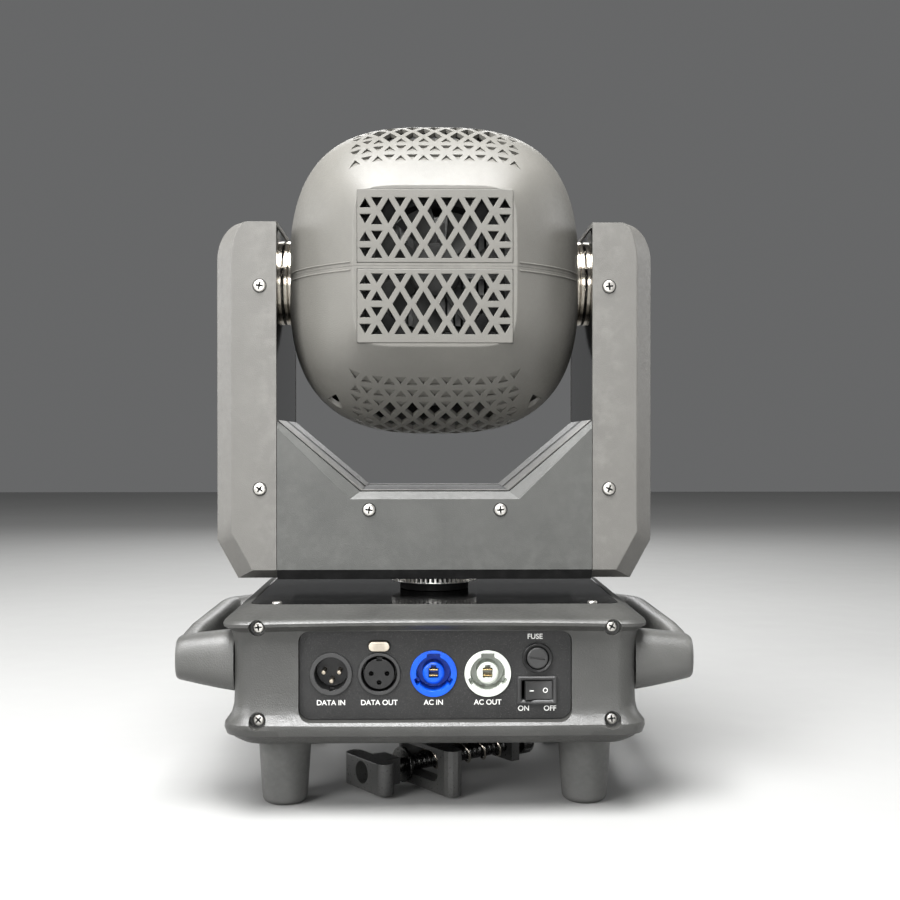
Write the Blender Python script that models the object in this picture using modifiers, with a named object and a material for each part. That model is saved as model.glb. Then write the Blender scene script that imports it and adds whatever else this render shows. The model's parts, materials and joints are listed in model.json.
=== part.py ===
"""Moving head light: a base with handles and feet, a panning yoke and a tilting head.

The connector panel faces -Y, the lens +Y. The origin is on the floor, on the pan axis.
Lengths are written in millimetres and turned into metres by MM when a mesh is made.
"""
import math

import bmesh
import bpy
from mathutils import Matrix, Vector

MM = 0.001
GAP = 0.3

# Base
BASE_BOTTOM = 39.0
BASE_TOP = 111.0
WAIST_X = 108.6
WAIST_Y = 101.0
CAVITY_X = 104.5
CAVITY_Y = 95.5
TOP_PLATE_X = 102.5
TOP_PLATE_Y = 76.0
BOTTOM_PLATE_X = 100.2
BOTTOM_PLATE_Y = 93.7
PANEL_X = 73.0
PANEL_Z = 24.0
PANEL_MID = 76.0
PANEL_OUT = 98.5
PANEL_IN = 96.0
FOOT_X = 84.0
FOOT_Y = 68.0
CORNER_SCREW_X = 94.6
CORNER_SCREW_Z = (52.5, 102.0)

# Connector panel
SOCKET_Z = 76.6
SOCKET_X = {"signal_in": -56.0, "signal_out": -30.2, "power_in": -1.0, "power_out": 28.1}
SIGNAL_R = 10.7
POWER_R = 11.8
FLANGE = 0.9
TAB_Z = 91.5
FUSE_X = 54.8
FUSE_Z = 85.0
SWITCH_X = 54.6
SWITCH_Z = 67.6
SWITCH_PIVOT = 2.0
SWITCH_THROW = 20.0

# Display panel
DISPLAY_X = -24.0
DISPLAY_HALF = (34.0, 17.0)
BUTTON_X = (24.0, 36.5, 49.0, 61.5)
BUTTON_R = 4.2

# Yoke
YOKE_BOTTOM = 122.0
YOKE_TOP = 327.5
YOKE_Y = 54.0
ARM_IN = 90.6
ARM_OUT = 126.0
COVER_WALL = 2.6
NOTCH_FLOOR = 173.0
NOTCH_HALF = 42.7
NOTCH_TOP = 213.5
PAN_SHAFT_R = 14.0
PAN_MOTOR_X = 58.0
PAN_BELT_Z = (133.5, 141.5)
TILT_MOTOR_Z = 215.0
TILT_BELT_X = (112.6, 119.6)
PAN_PULLEY_R = 26.0
TILT_PULLEY_R = 16.5
SMALL_PULLEY_R = 6.5
BELT_THICK = 1.5

# Head, measured from the tilt axis
TILT_Z = 298.0
HEAD_REAR = -79.0
HEAD_MID = -5.0
HEAD_FRONT = 97.0
HEAD_HALF_X = 87.5
HEAD_HALF_Z = 92.0
REAR_FLAT_X = 45.0
REAR_FLAT_Z = 44.0
BEZEL_R = 58.0
LENS_R = 49.7
SHELL_WALL = 2.5
HUB_R = 25.0
SHAFT_R = 11.9
GRILLE_PITCH_X = 12.9
GRILLE_PITCH_Z = 9.0
GRILLE_MID = 21.0

# Clamp: its own axes are u along the bolt and v across it, turned about the swivel
CLAMP_TURN = 36.0
CLAMP_V = -20.2
CLAMP_BOLT_Z = 12.0
CLAMP_BOLT_R = 4.0
JAW_U = (-66.5, -55.5)
JAW_BOSS_U = -45.0
JAW_HALF_V = 20.5
FIXED_JAW_U = (-35.5, -24.5)
FIXED_JAW_V = (-63.0, -9.5)
LUG_U = (38.0, 44.0)
COLLAR_U = (-39.0, -37.2)
KNOB_U = (50.0, 58.0)
FLANGE_V = -9.2
CLAMP_TOP_Z = (26.5, 30.0)

BLACK = ((0.030, 0.030, 0.030), 0.0, 0.50)
DARK = ((0.012, 0.012, 0.012), 0.0, 0.35)
METAL = ((0.62, 0.62, 0.60), 1.0, 0.30)
STEEL = ((0.10, 0.10, 0.10), 0.8, 0.45)
BRASS = ((0.55, 0.42, 0.22), 1.0, 0.35)
BLUE = ((0.02, 0.14, 0.95), 0.0, 0.35)
IVORY = ((0.75, 0.78, 0.70), 0.0, 0.40)
GLASS = ((0.70, 0.78, 0.80), 0.0, 0.05)
RUBBER = ((0.06, 0.06, 0.06), 0.0, 0.70)

# Local +Z turned towards the named direction
TOWARDS = {
    "up": Matrix.Identity(4),
    "rear": Matrix.Rotation(math.radians(90), 4, "X"),
    "front": Matrix.Rotation(math.radians(-90), 4, "X"),
    "right": Matrix(((0, 0, 1, 0), (1, 0, 0, 0), (0, 1, 0, 0), (0, 0, 0, 1))),
    "left": Matrix(((0, 0, -1, 0), (-1, 0, 0, 0), (0, 1, 0, 0), (0, 0, 0, 1))),
}


# ---------------------------------------------------------------- scene and helpers

def clear_scene():
    for obj in list(bpy.data.objects):
        bpy.data.objects.remove(obj, do_unlink=True)


def new_collection(name):
    collection = bpy.data.collections.new(name)
    bpy.context.scene.collection.children.link(collection)
    return collection


clear_scene()
PARTS = new_collection("moving_head_light")
CUTTERS = new_collection("cutters")


def pose(direction="up", at=(0.0, 0.0, 0.0)):
    """The matrix that turns local +Z towards a direction and moves the origin to a point."""
    return Matrix.Translation(Vector(at) * MM) @ TOWARDS[direction]


def clamp_pose(u=0.0, v=0.0, z=0.0, direction="up"):
    turn = Matrix.Rotation(math.radians(CLAMP_TURN), 4, "Z")
    return turn @ Matrix.Translation(Vector((u, v, z)) * MM) @ TOWARDS[direction]


def axis_empty(name, at, parent=None):
    empty = bpy.data.objects.new(name, None)
    empty.empty_display_size = 0.03
    PARTS.objects.link(empty)
    empty.matrix_world = Matrix.Translation(Vector(at) * MM)
    if parent:
        attach(empty, parent)
    return empty


def attach(obj, parent):
    world = obj.matrix_world.copy()
    obj.parent = parent
    obj.matrix_parent_inverse = parent.matrix_world.inverted()
    obj.matrix_basis = world
    bpy.context.view_layer.update()


def add_material(obj, look):
    color, metallic, roughness = look
    mat = bpy.data.materials.new(obj.name)
    mat.use_nodes = True
    shader = mat.node_tree.nodes["Principled BSDF"]
    shader.inputs["Base Color"].default_value = (*color, 1.0)
    shader.inputs["Metallic"].default_value = metallic
    shader.inputs["Roughness"].default_value = roughness
    obj.data.materials.clear()
    obj.data.materials.append(mat)


def add_object(name, mesh, look=None, matrix=None, parent=None):
    """A part when it has a look, otherwise a cutter."""
    obj = bpy.data.objects.new(name, mesh)
    if look:
        PARTS.objects.link(obj)
        add_material(obj, look)
    else:
        CUTTERS.objects.link(obj)
        obj.hide_render = True
        obj.display_type = "WIRE"
    obj.matrix_world = matrix or Matrix.Identity(4)
    bpy.context.view_layer.update()
    if parent:
        attach(obj, parent)
    return obj


def mesh_from(bm, name):
    mesh = bpy.data.meshes.new(name)
    bmesh.ops.scale(bm, vec=(MM, MM, MM), verts=bm.verts)
    bm.to_mesh(mesh)
    bm.free()
    return mesh


def boolean(obj, other, operation="DIFFERENCE"):
    mod = obj.modifiers.new(other.name, "BOOLEAN")
    mod.operation = operation
    mod.solver = "EXACT"
    mod.object = other
    return obj


# ---------------------------------------------------------------- shapes

def box(name, low, high, look=None, parent=None, bevel=0.0, matrix=None):
    bm = bmesh.new()
    bmesh.ops.create_cube(bm, size=1.0)
    size = Vector(high) - Vector(low)
    middle = (Vector(high) + Vector(low)) / 2
    bmesh.ops.scale(bm, vec=size, verts=bm.verts)
    if bevel:
        bmesh.ops.bevel(bm, geom=bm.edges[:], offset=bevel, segments=2, profile=0.5, affect="EDGES")
    bmesh.ops.translate(bm, vec=middle, verts=bm.verts)
    return add_object(name, mesh_from(bm, name), look, matrix, parent)


def turned(name, profile, look=None, matrix=None, parent=None, steps=24, closed=False):
    """A profile of (radius, height) points, outer side from top to bottom, turned about Z."""
    bm = bmesh.new()
    verts = [bm.verts.new((radius, 0, height)) for radius, height in profile]
    pairs = list(zip(verts, verts[1:]))
    if closed:
        pairs.append((verts[-1], verts[0]))
    for pair in pairs:
        bm.edges.new(pair)
    obj = add_object(name, mesh_from(bm, name), look, matrix, parent)
    mod = obj.modifiers.new("turn", "SCREW")
    mod.axis = "Z"
    mod.steps = steps
    mod.render_steps = steps
    mod.use_merge_vertices = True
    mod.merge_threshold = 0.00001
    mod.use_smooth_shade = True
    return obj


def disc(name, radius, low, high, look=None, matrix=None, parent=None, steps=24):
    profile = [(0, high), (radius, high), (radius, low), (0, low)]
    return turned(name, profile, look, matrix, parent, steps)


def ring(name, inner, outer, low, high, look=None, matrix=None, parent=None, steps=24):
    profile = [(outer, high), (outer, low), (inner, low), (inner, high)]
    return turned(name, profile, look, matrix, parent, steps, closed=True)


def circle(radius, at=(0.0, 0.0), count=24):
    turn = 2 * math.pi / count
    return [(at[0] + radius * math.cos(i * turn), at[1] + radius * math.sin(i * turn))
            for i in range(count)]


def rectangle(half, at=(0.0, 0.0), corner=0.0, arc=3):
    """A rectangle, with rounded corners when corner is given, counter-clockwise."""
    if not corner:
        return [(at[0] + sx * half[0], at[1] + sy * half[1])
                for sx, sy in ((-1, -1), (1, -1), (1, 1), (-1, 1))]
    points = []
    for quarter, (sx, sy) in enumerate(((1, 1), (-1, 1), (-1, -1), (1, -1))):
        middle = (at[0] + sx * (half[0] - corner), at[1] + sy * (half[1] - corner))
        for i in range(arc + 1):
            angle = math.pi / 2 * (quarter + i / arc)
            points.append((middle[0] + corner * math.cos(angle),
                           middle[1] + corner * math.sin(angle)))
    return points


def plate(name, loops, low, high, look=None, matrix=None, parent=None):
    """Flat outlines, the first one outside and the others holes, between two heights."""
    curve = bpy.data.curves.new(name, "CURVE")
    curve.dimensions = "2D"
    curve.fill_mode = "BOTH"
    curve.extrude = (high - low) / 2 * MM
    for loop in loops:
        spline = curve.splines.new("POLY")
        spline.points.add(len(loop) - 1)
        for point, (x, y) in zip(spline.points, loop):
            point.co = (x * MM, y * MM, 0, 1)
        spline.use_cyclic_u = True
    guide = bpy.data.objects.new(name + "_outline", curve)
    CUTTERS.objects.link(guide)
    bpy.context.view_layer.update()
    graph = bpy.context.evaluated_depsgraph_get()
    mesh = bpy.data.meshes.new_from_object(guide.evaluated_get(graph))
    bpy.data.objects.remove(guide, do_unlink=True)
    bm = bmesh.new()
    bm.from_mesh(mesh)
    bmesh.ops.remove_doubles(bm, verts=bm.verts, dist=0.00001)
    bmesh.ops.translate(bm, vec=(0, 0, (high + low) / 2 * MM), verts=bm.verts)
    bmesh.ops.recalc_face_normals(bm, faces=bm.faces)
    bm.to_mesh(mesh)
    bm.free()
    mesh.name = name
    return add_object(name, mesh, look, matrix, parent)


def loft(name, rings, look=None, matrix=None, parent=None, around=False):
    """Skins equal rings of 3D points, joined last to first when around, otherwise capped."""
    bm = bmesh.new()
    rows = [[bm.verts.new(point) for point in ring_points] for ring_points in rings]
    pairs = list(zip(rows, rows[1:]))
    if around:
        pairs.append((rows[-1], rows[0]))
    else:
        bm.faces.new(rows[0])
        bm.faces.new(list(reversed(rows[-1])))
    count = len(rows[0])
    for first, second in pairs:
        for i in range(count):
            j = (i + 1) % count
            bm.faces.new((first[i], second[i], second[j], first[j]))
    bmesh.ops.recalc_face_normals(bm, faces=bm.faces)
    return add_object(name, mesh_from(bm, name), look, matrix, parent)


def level(half_x, half_y, corner, z):
    return [(x, y, z) for x, y in rectangle((half_x, half_y), corner=corner)]


def belt_outline(big, small, distance, count=16):
    """The taut loop round two circles, the big one at the origin and the small one below it."""
    lean = math.asin((big - small) / distance)
    points = []
    for i in range(count + 1):
        angle = -lean + (math.pi + 2 * lean) * i / count
        points.append((big * math.cos(angle), big * math.sin(angle)))
    for i in range(count + 1):
        angle = math.pi + lean + (math.pi - 2 * lean) * i / count
        points.append((small * math.cos(angle), small * math.sin(angle) - distance))
    return points


def belt(name, big, small, distance, low, high, matrix, parent):
    inner = belt_outline(big + GAP, small + GAP, distance)
    outer = belt_outline(big + GAP + BELT_THICK, small + GAP + BELT_THICK, distance)
    return plate(name, [outer, inner], low, high, RUBBER, matrix, parent)


# ---------------------------------------------------------------- base

def base_housing():
    outer = [
        (39.0, 102.5, 97.5, 10.0), (43.0, 109.0, 103.5, 12.0), (46.5, 112.5, 106.5, 13.0),
        (51.0, 113.5, 107.5, 13.0), (54.5, 111.0, 104.0, 12.0), (60.0, WAIST_X, WAIST_Y, 11.0),
        (94.0, WAIST_X, WAIST_Y, 11.0), (98.0, 109.2, 102.0, 11.0), (102.0, 112.0, 105.0, 12.0),
        (105.0, 114.0, 107.5, 13.0), (107.0, 112.0, 103.5, 13.0), (BASE_TOP, 104.0, 77.5, 8.0),
    ]
    inner = [
        (BASE_TOP, TOP_PLATE_X + GAP, TOP_PLATE_Y + GAP, 7.0),
        (107.8, TOP_PLATE_X + GAP, TOP_PLATE_Y + GAP, 7.0), (103.8, CAVITY_X, CAVITY_Y, 8.0),
        (44.5, CAVITY_X, CAVITY_Y, 8.0), (42.5, BOTTOM_PLATE_X + GAP, BOTTOM_PLATE_Y + GAP, 7.0),
        (BASE_BOTTOM, BOTTOM_PLATE_X + GAP, BOTTOM_PLATE_Y + GAP, 7.0),
    ]
    rings = [level(half_x, half_y, corner, z) for z, half_x, half_y, corner in outer + inner]
    housing = loft("base_housing", rings, BLACK, around=True)
    window = rectangle((PANEL_X + GAP, PANEL_Z + GAP), (0, PANEL_MID), 6.0, 3)
    boolean(housing, plate("panel_windows", [window], -130, 130, matrix=pose("rear")))
    for side in (-1, 1):
        for direction in ("rear", "front"):
            for z in CORNER_SCREW_Z:
                at = (side * CORNER_SCREW_X, 0, z)
                cutter = disc("screw_well", 4.6, 99.2, 125, matrix=pose(direction, at), steps=12)
                boolean(housing, cutter)


def base_plates():
    top = rectangle((TOP_PLATE_X, TOP_PLATE_Y), corner=7.0)
    hole = circle(PAN_SHAFT_R + GAP)
    plate("base_top_plate", [top, hole], 108.8, BASE_TOP, DARK)
    bottom = rectangle((BOTTOM_PLATE_X, BOTTOM_PLATE_Y), corner=7.0)
    plate("base_bottom_plate", [bottom], BASE_BOTTOM + GAP, 41.3, STEEL)


def foot(name, x, y):
    profile = [(0, 38.7), (14.8, 38.7), (12.6, 4.0), (11.5, 1.2), (8.8, 0), (0, 0)]
    turned(name, profile, RUBBER, pose(at=(x, y, 0)), steps=24)


def rounded_section(middle, across, half_across, half_z, count=12):
    """A rounded section standing on the plane of a level direction and Z."""
    points = []
    for i in range(count):
        angle = 2 * math.pi * i / count
        c, s = math.cos(angle), math.sin(angle)
        scale = (abs(c) ** 3 + abs(s) ** 3) ** (-1 / 3)
        points.append(middle + across * (half_across * c * scale) + Vector((0, 0, half_z * s * scale)))
    return points


def handle(name, side):
    """A bar between two sleeves that stand out from the housing and taper outwards."""
    bar_x, leg_y = side * 135.1, 80.0
    bar = [(-leg_y, 9.2, 86.0), (-50.0, 10.0, 87.4), (50.0, 10.0, 87.4), (leg_y, 9.2, 86.0)]
    rings = [rounded_section(Vector((bar_x, y, z)), Vector((1, 0, 0)), 5.9, half_z)
             for y, half_z, z in bar]
    grip = loft(name, rings, BLACK)
    sleeve = [(109.5, 14.0, 16.4, 81.2), (136.5, 12.6, 12.6, 82.6), (139.8, 11.8, 11.8, 82.7),
              (141.2, 10.0, 10.2, 82.7)]
    for end in (-1, 1):
        rings = [rounded_section(Vector((side * x, end * leg_y, z)), Vector((0, 1, 0)), half_y, half_z)
                 for x, half_y, half_z, z in sleeve]
        boolean(grip, loft(name + "_sleeve", rings), "UNION")


def base_inside():
    box("power_supply", (-92, -62, 46), (-12, 62, 92), STEEL, bevel=1.5)


# ---------------------------------------------------------------- connector panel

def connector_panel():
    holes = []
    for name, x in SOCKET_X.items():
        body = SIGNAL_R if name.startswith("signal") else POWER_R
        holes.append(circle(body + GAP, (x, SOCKET_Z)))
    holes.append(rectangle((6.0, 2.95), (SOCKET_X["signal_out"], TAB_Z)))
    holes.append(circle(7.2, (FUSE_X, FUSE_Z)))
    holes.append(rectangle((9.6, 6.6), (SWITCH_X, SWITCH_Z)))
    outline = rectangle((PANEL_X, PANEL_Z), (0, PANEL_MID), 5.7, 3)
    plate("connector_panel", [outline] + holes, PANEL_IN, PANEL_OUT, DARK, pose("rear"))


def socket_pose(x, z=SOCKET_Z):
    return pose("rear", (x, -PANEL_OUT, z))


def socket_profile(body, cavity, lip, boss):
    """A round cup behind a thin flange, where boss is the (radius, top) of what stands in it."""
    start = [(0, boss[1]), (boss[0], boss[1]), (boss[0], -12)] if boss else [(0, -12)]
    flange = [(cavity, -12), (cavity, lip), (body + FLANGE, lip), (body + FLANGE, GAP), (body, GAP)]
    return start + flange + [(body, -15), (0, -15)]


def signal_sockets():
    """Two contacts side by side and the third below them."""
    contacts = ((-4.2, 0.2), (4.2, 0.2), (0.0, -4.6))
    place = socket_pose(SOCKET_X["signal_in"])
    male = turned("signal_in_socket", socket_profile(SIGNAL_R, 9.3, 1.0, None), DARK, place)
    for x, y in contacts:
        pin = disc("pin", 1.3, -13, -3, matrix=place @ pose(at=(x, y, 0)), steps=10)
        boolean(male, pin, "UNION")
    place = socket_pose(SOCKET_X["signal_out"])
    profile = socket_profile(SIGNAL_R, 9.5, 1.0, (8.3, 0.4))
    female = turned("signal_out_socket", profile, DARK, place)
    for x, y in contacts:
        hole = disc("pin_hole", 1.6, -9, 3, matrix=place @ pose(at=(x, y, 0)), steps=10)
        boolean(female, hole)
    place = socket_pose(SOCKET_X["signal_out"], TAB_Z)
    plate("release_tab", [rectangle((5.6, 2.6), corner=2.5)], -4.5, 2.6, METAL, place)


def power_sockets():
    for name, look in (("power_in", BLUE), ("power_out", IVORY)):
        place = socket_pose(SOCKET_X[name])
        body = turned(name + "_socket", socket_profile(POWER_R, 9.8, 1.4, (4.8, -1.0)), look, place)
        contact = box("contact_slot", (-2.4, -1.0, -9), (2.4, 3.4, 3), matrix=place)
        boolean(body, contact)


def fuse():
    place = socket_pose(FUSE_X, FUSE_Z)
    profile = [(8.2, 2.2), (8.2, GAP), (6.9, GAP), (6.9, -14), (6.1, -14), (6.1, 2.2)]
    turned("fuse_holder", profile, DARK, place, closed=True)
    axis = axis_empty("fuse_axis", (FUSE_X, -PANEL_OUT, FUSE_Z))
    cap = turned("fuse_cap", [(0, 2.8), (5.0, 2.8), (5.7, 2.1), (5.7, -12), (0, -12)],
                 DARK, place, axis, steps=24)
    boolean(cap, box("fuse_slot", (-4.4, -0.7, 1.4), (4.4, 0.7, 4), matrix=place))


def power_switch():
    rings = []
    for half, height in (((10.5, 7.5), 1.8), ((10.5, 7.5), GAP), ((9.3, 6.3), GAP),
                         ((9.3, 6.3), -12), ((8.3, 5.3), -12), ((8.3, 5.3), 1.8)):
        rings.append([(x, y, height) for x, y in rectangle(half)])
    loft("switch_bezel", rings, DARK, socket_pose(SWITCH_X, SWITCH_Z), around=True)
    pivot = (SWITCH_X, -PANEL_OUT + SWITCH_PIVOT, SWITCH_Z)
    axis = axis_empty("switch_axis", pivot)
    face = [(-7.2, -4.6), (0, -3.2), (7.2, -4.6), (6.8, 0.5), (3.5, 5.0), (-3.5, 5.0), (-6.8, 0.5)]
    turn = Matrix.Rotation(math.radians(SWITCH_THROW / 2), 4, "Z")
    plate("switch_rocker", [face], -4.9, 4.9, DARK, pose(at=pivot) @ turn, axis)


# ---------------------------------------------------------------- display panel

def display_panel():
    at = (DISPLAY_X, PANEL_MID)
    half = (DISPLAY_HALF[0] + GAP, DISPLAY_HALF[1] + GAP)
    holes = [rectangle(half, at)]
    holes += [circle(BUTTON_R + GAP, (x, PANEL_MID), 16) for x in BUTTON_X]
    outline = rectangle((PANEL_X, PANEL_Z), (0, PANEL_MID), 5.7, 3)
    plate("display_panel", [outline] + holes, -PANEL_OUT, -PANEL_IN, DARK, pose("rear"))
    box("display_window", (at[0] - DISPLAY_HALF[0], PANEL_IN, at[1] - DISPLAY_HALF[1]),
        (at[0] + DISPLAY_HALF[0], PANEL_OUT, at[1] + DISPLAY_HALF[1]), GLASS)
    for number, x in enumerate(BUTTON_X, 1):
        place = pose("front", (x, PANEL_OUT, PANEL_MID))
        profile = [(0, 1.6), (BUTTON_R - 0.6, 1.6), (BUTTON_R, 1.0), (BUTTON_R, -2.9),
                   (BUTTON_R + 1.2, -2.9), (BUTTON_R + 1.2, -4.2), (0, -4.2)]
        turned(f"menu_button_{number}", profile, RUBBER, place, steps=16)


# ---------------------------------------------------------------- clamp under the base

def omega_bracket():
    bracket = box("omega_bracket", (-96, -14, 35.3), (96, 14, 38.8), STEEL, bevel=0.8)
    boolean(bracket, disc("swivel_hole", 5.3, 30, 45, steps=24))


def clamp_body(axis):
    """Top plate, fixed jaw with its window, back flange and end lug, in one folded frame."""
    here = clamp_pose()
    low_z, high_z = CLAMP_TOP_Z
    top = box("clamp_frame", (FIXED_JAW_U[0] + 1, CLAMP_V - 19, low_z), (LUG_U[1] + 22, 11.5, high_z),
              STEEL, axis, matrix=here)
    half = ((FIXED_JAW_U[1] - FIXED_JAW_U[0]) / 2, (FIXED_JAW_V[1] - FIXED_JAW_V[0]) / 2)
    middle = (sum(FIXED_JAW_U) / 2, sum(FIXED_JAW_V) / 2)
    jaw = plate("fixed_jaw", [rectangle(half, middle, half[0] - 0.1)], 1.5, low_z + 0.4, matrix=here)
    boolean(top, jaw, "UNION")
    flange = [(FIXED_JAW_U[1] - 3, 4.5), (LUG_U[1] + 8, 4.5), (LUG_U[1] + 14, 6.5),
              (LUG_U[1] + 20, 16), (LUG_U[1] + 21, high_z - 1.6), (FIXED_JAW_U[1] - 3, high_z - 1.6)]
    flange_at = clamp_pose(v=FLANGE_V, direction="rear")
    boolean(top, plate("back_flange", [flange], 0, 3, matrix=flange_at), "UNION")
    lug = box("end_lug", (LUG_U[0], CLAMP_V - 9, 3.5), (LUG_U[1], FLANGE_V - 1, high_z - 1.3),
              matrix=here)
    boolean(top, lug, "UNION")
    window = rectangle((18.5, 8.5), (-33.0, 15.9), 5.0, 3)
    window_at = clamp_pose(direction="right")
    boolean(top, plate("jaw_window", [window], FIXED_JAW_U[0] - 3, -20, matrix=window_at))
    bolt_at = clamp_pose(v=CLAMP_V, z=CLAMP_BOLT_Z, direction="right")
    boolean(top, disc("lug_hole", CLAMP_BOLT_R + GAP, 30, 60, matrix=bolt_at, steps=24))
    boolean(top, disc("swivel_hole_below", 5.3, 20, 45, steps=24))


def clamp_pieces():
    swivel = axis_empty("clamp_axis", (0, 0, 0))
    clamp_body(swivel)
    bolt_at = clamp_pose(v=CLAMP_V, z=CLAMP_BOLT_Z, direction="right")
    half_u = (JAW_U[1] - JAW_U[0]) / 2
    jaw_outline = rectangle((half_u, JAW_HALF_V), (sum(JAW_U) / 2, CLAMP_V), half_u - 0.1, 4)
    jaw = plate("clamp_jaw", [jaw_outline], 2.0, 20.0, STEEL, clamp_pose(), swivel)
    boss = box("jaw_boss", (JAW_U[1] - 1, CLAMP_V - 8, 3.5), (JAW_BOSS_U, CLAMP_V + 8, 19),
               matrix=clamp_pose())
    boolean(jaw, boss, "UNION")
    recess_end = JAW_U[0] + 9.5
    boolean(jaw, disc("jaw_hole", CLAMP_BOLT_R + GAP, JAW_U[0] + 3, -40, matrix=bolt_at, steps=24))
    boolean(jaw, disc("jaw_recess", 6.4, JAW_U[0] - 5, recess_end, matrix=bolt_at, steps=24))
    tip = recess_end - 1.5
    rod = [(0, KNOB_U[1]), (7.0, KNOB_U[1]), (7.7, KNOB_U[1] - 0.8), (7.7, KNOB_U[0] + 0.8),
           (7.0, KNOB_U[0]), (CLAMP_BOLT_R, KNOB_U[0]), (CLAMP_BOLT_R, COLLAR_U[1]),
           (10.2, COLLAR_U[1]), (10.2, COLLAR_U[0]), (CLAMP_BOLT_R, COLLAR_U[0]),
           (CLAMP_BOLT_R, tip), (0, tip)]
    turned("clamp_bolt", rod, METAL, bolt_at, swivel, steps=24)
    clamp_spring(swivel)
    pin = [(0, 35.2), (5.0, 35.2), (5.0, 26.0), (8.5, 26.0), (8.5, 22.5), (0, 22.5)]
    turned("swivel_bolt", pin, METAL, None, steps=24)


def clamp_spring(swivel):
    """An open coil round the bolt between the fixed jaw and the end lug."""
    turns, radius, wire = 5, 5.9, 0.8
    start, length = FIXED_JAW_U[1] + 1.2, LUG_U[0] - FIXED_JAW_U[1] - 2.4
    curve = bpy.data.curves.new("clamp_spring", "CURVE")
    curve.dimensions = "3D"
    curve.bevel_depth = wire * MM
    curve.bevel_resolution = 0
    curve.use_fill_caps = True
    count = turns * 10
    spline = curve.splines.new("POLY")
    spline.points.add(count)
    for i, point in enumerate(spline.points):
        angle = 2 * math.pi * turns * i / count
        height = start + length * i / count
        point.co = (radius * math.cos(angle) * MM, radius * math.sin(angle) * MM, height * MM, 1)
    obj = bpy.data.objects.new("clamp_spring", curve)
    PARTS.objects.link(obj)
    obj.matrix_world = clamp_pose(v=CLAMP_V, z=CLAMP_BOLT_Z, direction="right")
    add_material(obj, METAL)
    bpy.context.view_layer.update()
    attach(obj, swivel)


# ---------------------------------------------------------------- pan drive and yoke

def pan_drive(yoke):
    teeth, gear_low = 36, 116.0
    outline = []
    for i in range(teeth):
        for step, radius in ((0.0, 26.2), (0.42, 26.2), (0.5, 24.8), (0.92, 24.8)):
            angle = 2 * math.pi * (i + step) / teeth
            outline.append((radius * math.cos(angle), radius * math.sin(angle)))
    hole = circle(PAN_SHAFT_R + GAP)
    gear = plate("pan_ring_gear", [outline, hole], gear_low, YOKE_BOTTOM - GAP, METAL)
    neck = ring("gear_neck", PAN_SHAFT_R + GAP + 0.4, 21.0, BASE_TOP + GAP, gear_low + 1.0)
    boolean(gear, neck, "UNION")
    low, high = PAN_BELT_Z
    shaft = [(PAN_SHAFT_R, 150.0), (PAN_SHAFT_R, high), (PAN_PULLEY_R, high), (PAN_PULLEY_R, low),
             (PAN_SHAFT_R, low), (PAN_SHAFT_R, 108.5), (22.0, 108.5), (22.0, 105.5),
             (9.0, 105.5), (9.0, 150.0)]
    turned("pan_shaft", shaft, METAL, closed=True)
    ring("pan_bearing", PAN_SHAFT_R + 0.2, 21.7, 125.3, 131.3, METAL, None, yoke)
    motor_axis = axis_empty("pan_motor_axis", (PAN_MOTOR_X, 0, 0), yoke)
    stem = [(0, 143.3), (2.5, 143.3), (2.5, PAN_BELT_Z[1]), (SMALL_PULLEY_R, PAN_BELT_Z[1]),
            (SMALL_PULLEY_R, PAN_BELT_Z[0]), (0, PAN_BELT_Z[0])]
    turned("pan_motor_pulley", stem, BRASS, pose(at=(PAN_MOTOR_X, 0, 0)), motor_axis, steps=20)
    box("pan_motor", (PAN_MOTOR_X - 21, -21, 143.6), (PAN_MOTOR_X + 21, 21, 164.0), STEEL, yoke,
        bevel=2.0)
    turn = Matrix.Rotation(math.radians(90), 4, "Z")
    belt("pan_belt", PAN_PULLEY_R, SMALL_PULLEY_R, PAN_MOTOR_X, PAN_BELT_Z[0] + 0.5,
         PAN_BELT_Z[1] - 0.5, turn, yoke)


def notch_outline(side, floor, top, bottom):
    """The crossbar seen along Y: flat below, with a V-shaped notch above."""
    return [(-side, bottom), (side, bottom), (side, top), (NOTCH_HALF, floor),
            (-NOTCH_HALF, floor), (-side, top)]


def crossbar(yoke):
    side = ARM_IN - 0.4
    outline = notch_outline(side, NOTCH_FLOOR, NOTCH_TOP, 125.1)
    hollow = notch_outline(side - 3.2, NOTCH_FLOOR - 3.2, NOTCH_TOP - 6.2, 129.0)
    bar = plate("yoke_crossbar", [outline, hollow], -51.0, 51.0, BLACK, pose("rear"), yoke)
    boolean(bar, disc("bearing_seat", 22.0, 120, 132))
    cover = notch_outline(side, NOTCH_FLOOR - 1.5, NOTCH_TOP - 1.5, YOKE_BOTTOM + GAP)
    plate("yoke_cover_rear", [cover], 51.3, YOKE_Y, BLACK, pose("rear"), yoke)
    plate("yoke_cover_front", [cover], -YOKE_Y, -51.3, BLACK, pose("rear"), yoke)
    bottom = rectangle((side, 51.0))
    plate("yoke_bottom_plate", [bottom, circle(18.0)], YOKE_BOTTOM, 124.8, DARK, None, yoke)


def arm_outline(bevel, wall, open_side):
    """The arm seen along Y for +X, rounded at the top outer corner, cut off at the bottom one.

    bevel runs from 0 at the broad middle to 1 at the front and rear faces.
    """
    inner, outer = open_side, ARM_OUT - 10.0 * bevel - wall
    low, high = YOKE_BOTTOM + 5.5 * bevel + wall, YOKE_TOP - 0.8 * bevel - wall
    reach_x, reach_z = 15.5 - 6.5 * bevel, 22.0 + bevel
    points = [(inner, low), (outer - 12, low), (outer, low + 22), (outer, high - reach_z)]
    for i in range(1, 7):
        angle = math.pi / 2 * i / 6
        points.append((outer - reach_x + reach_x * math.cos(angle),
                       high - reach_z + reach_z * math.sin(angle)))
    points.append((inner, high))
    return points


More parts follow.
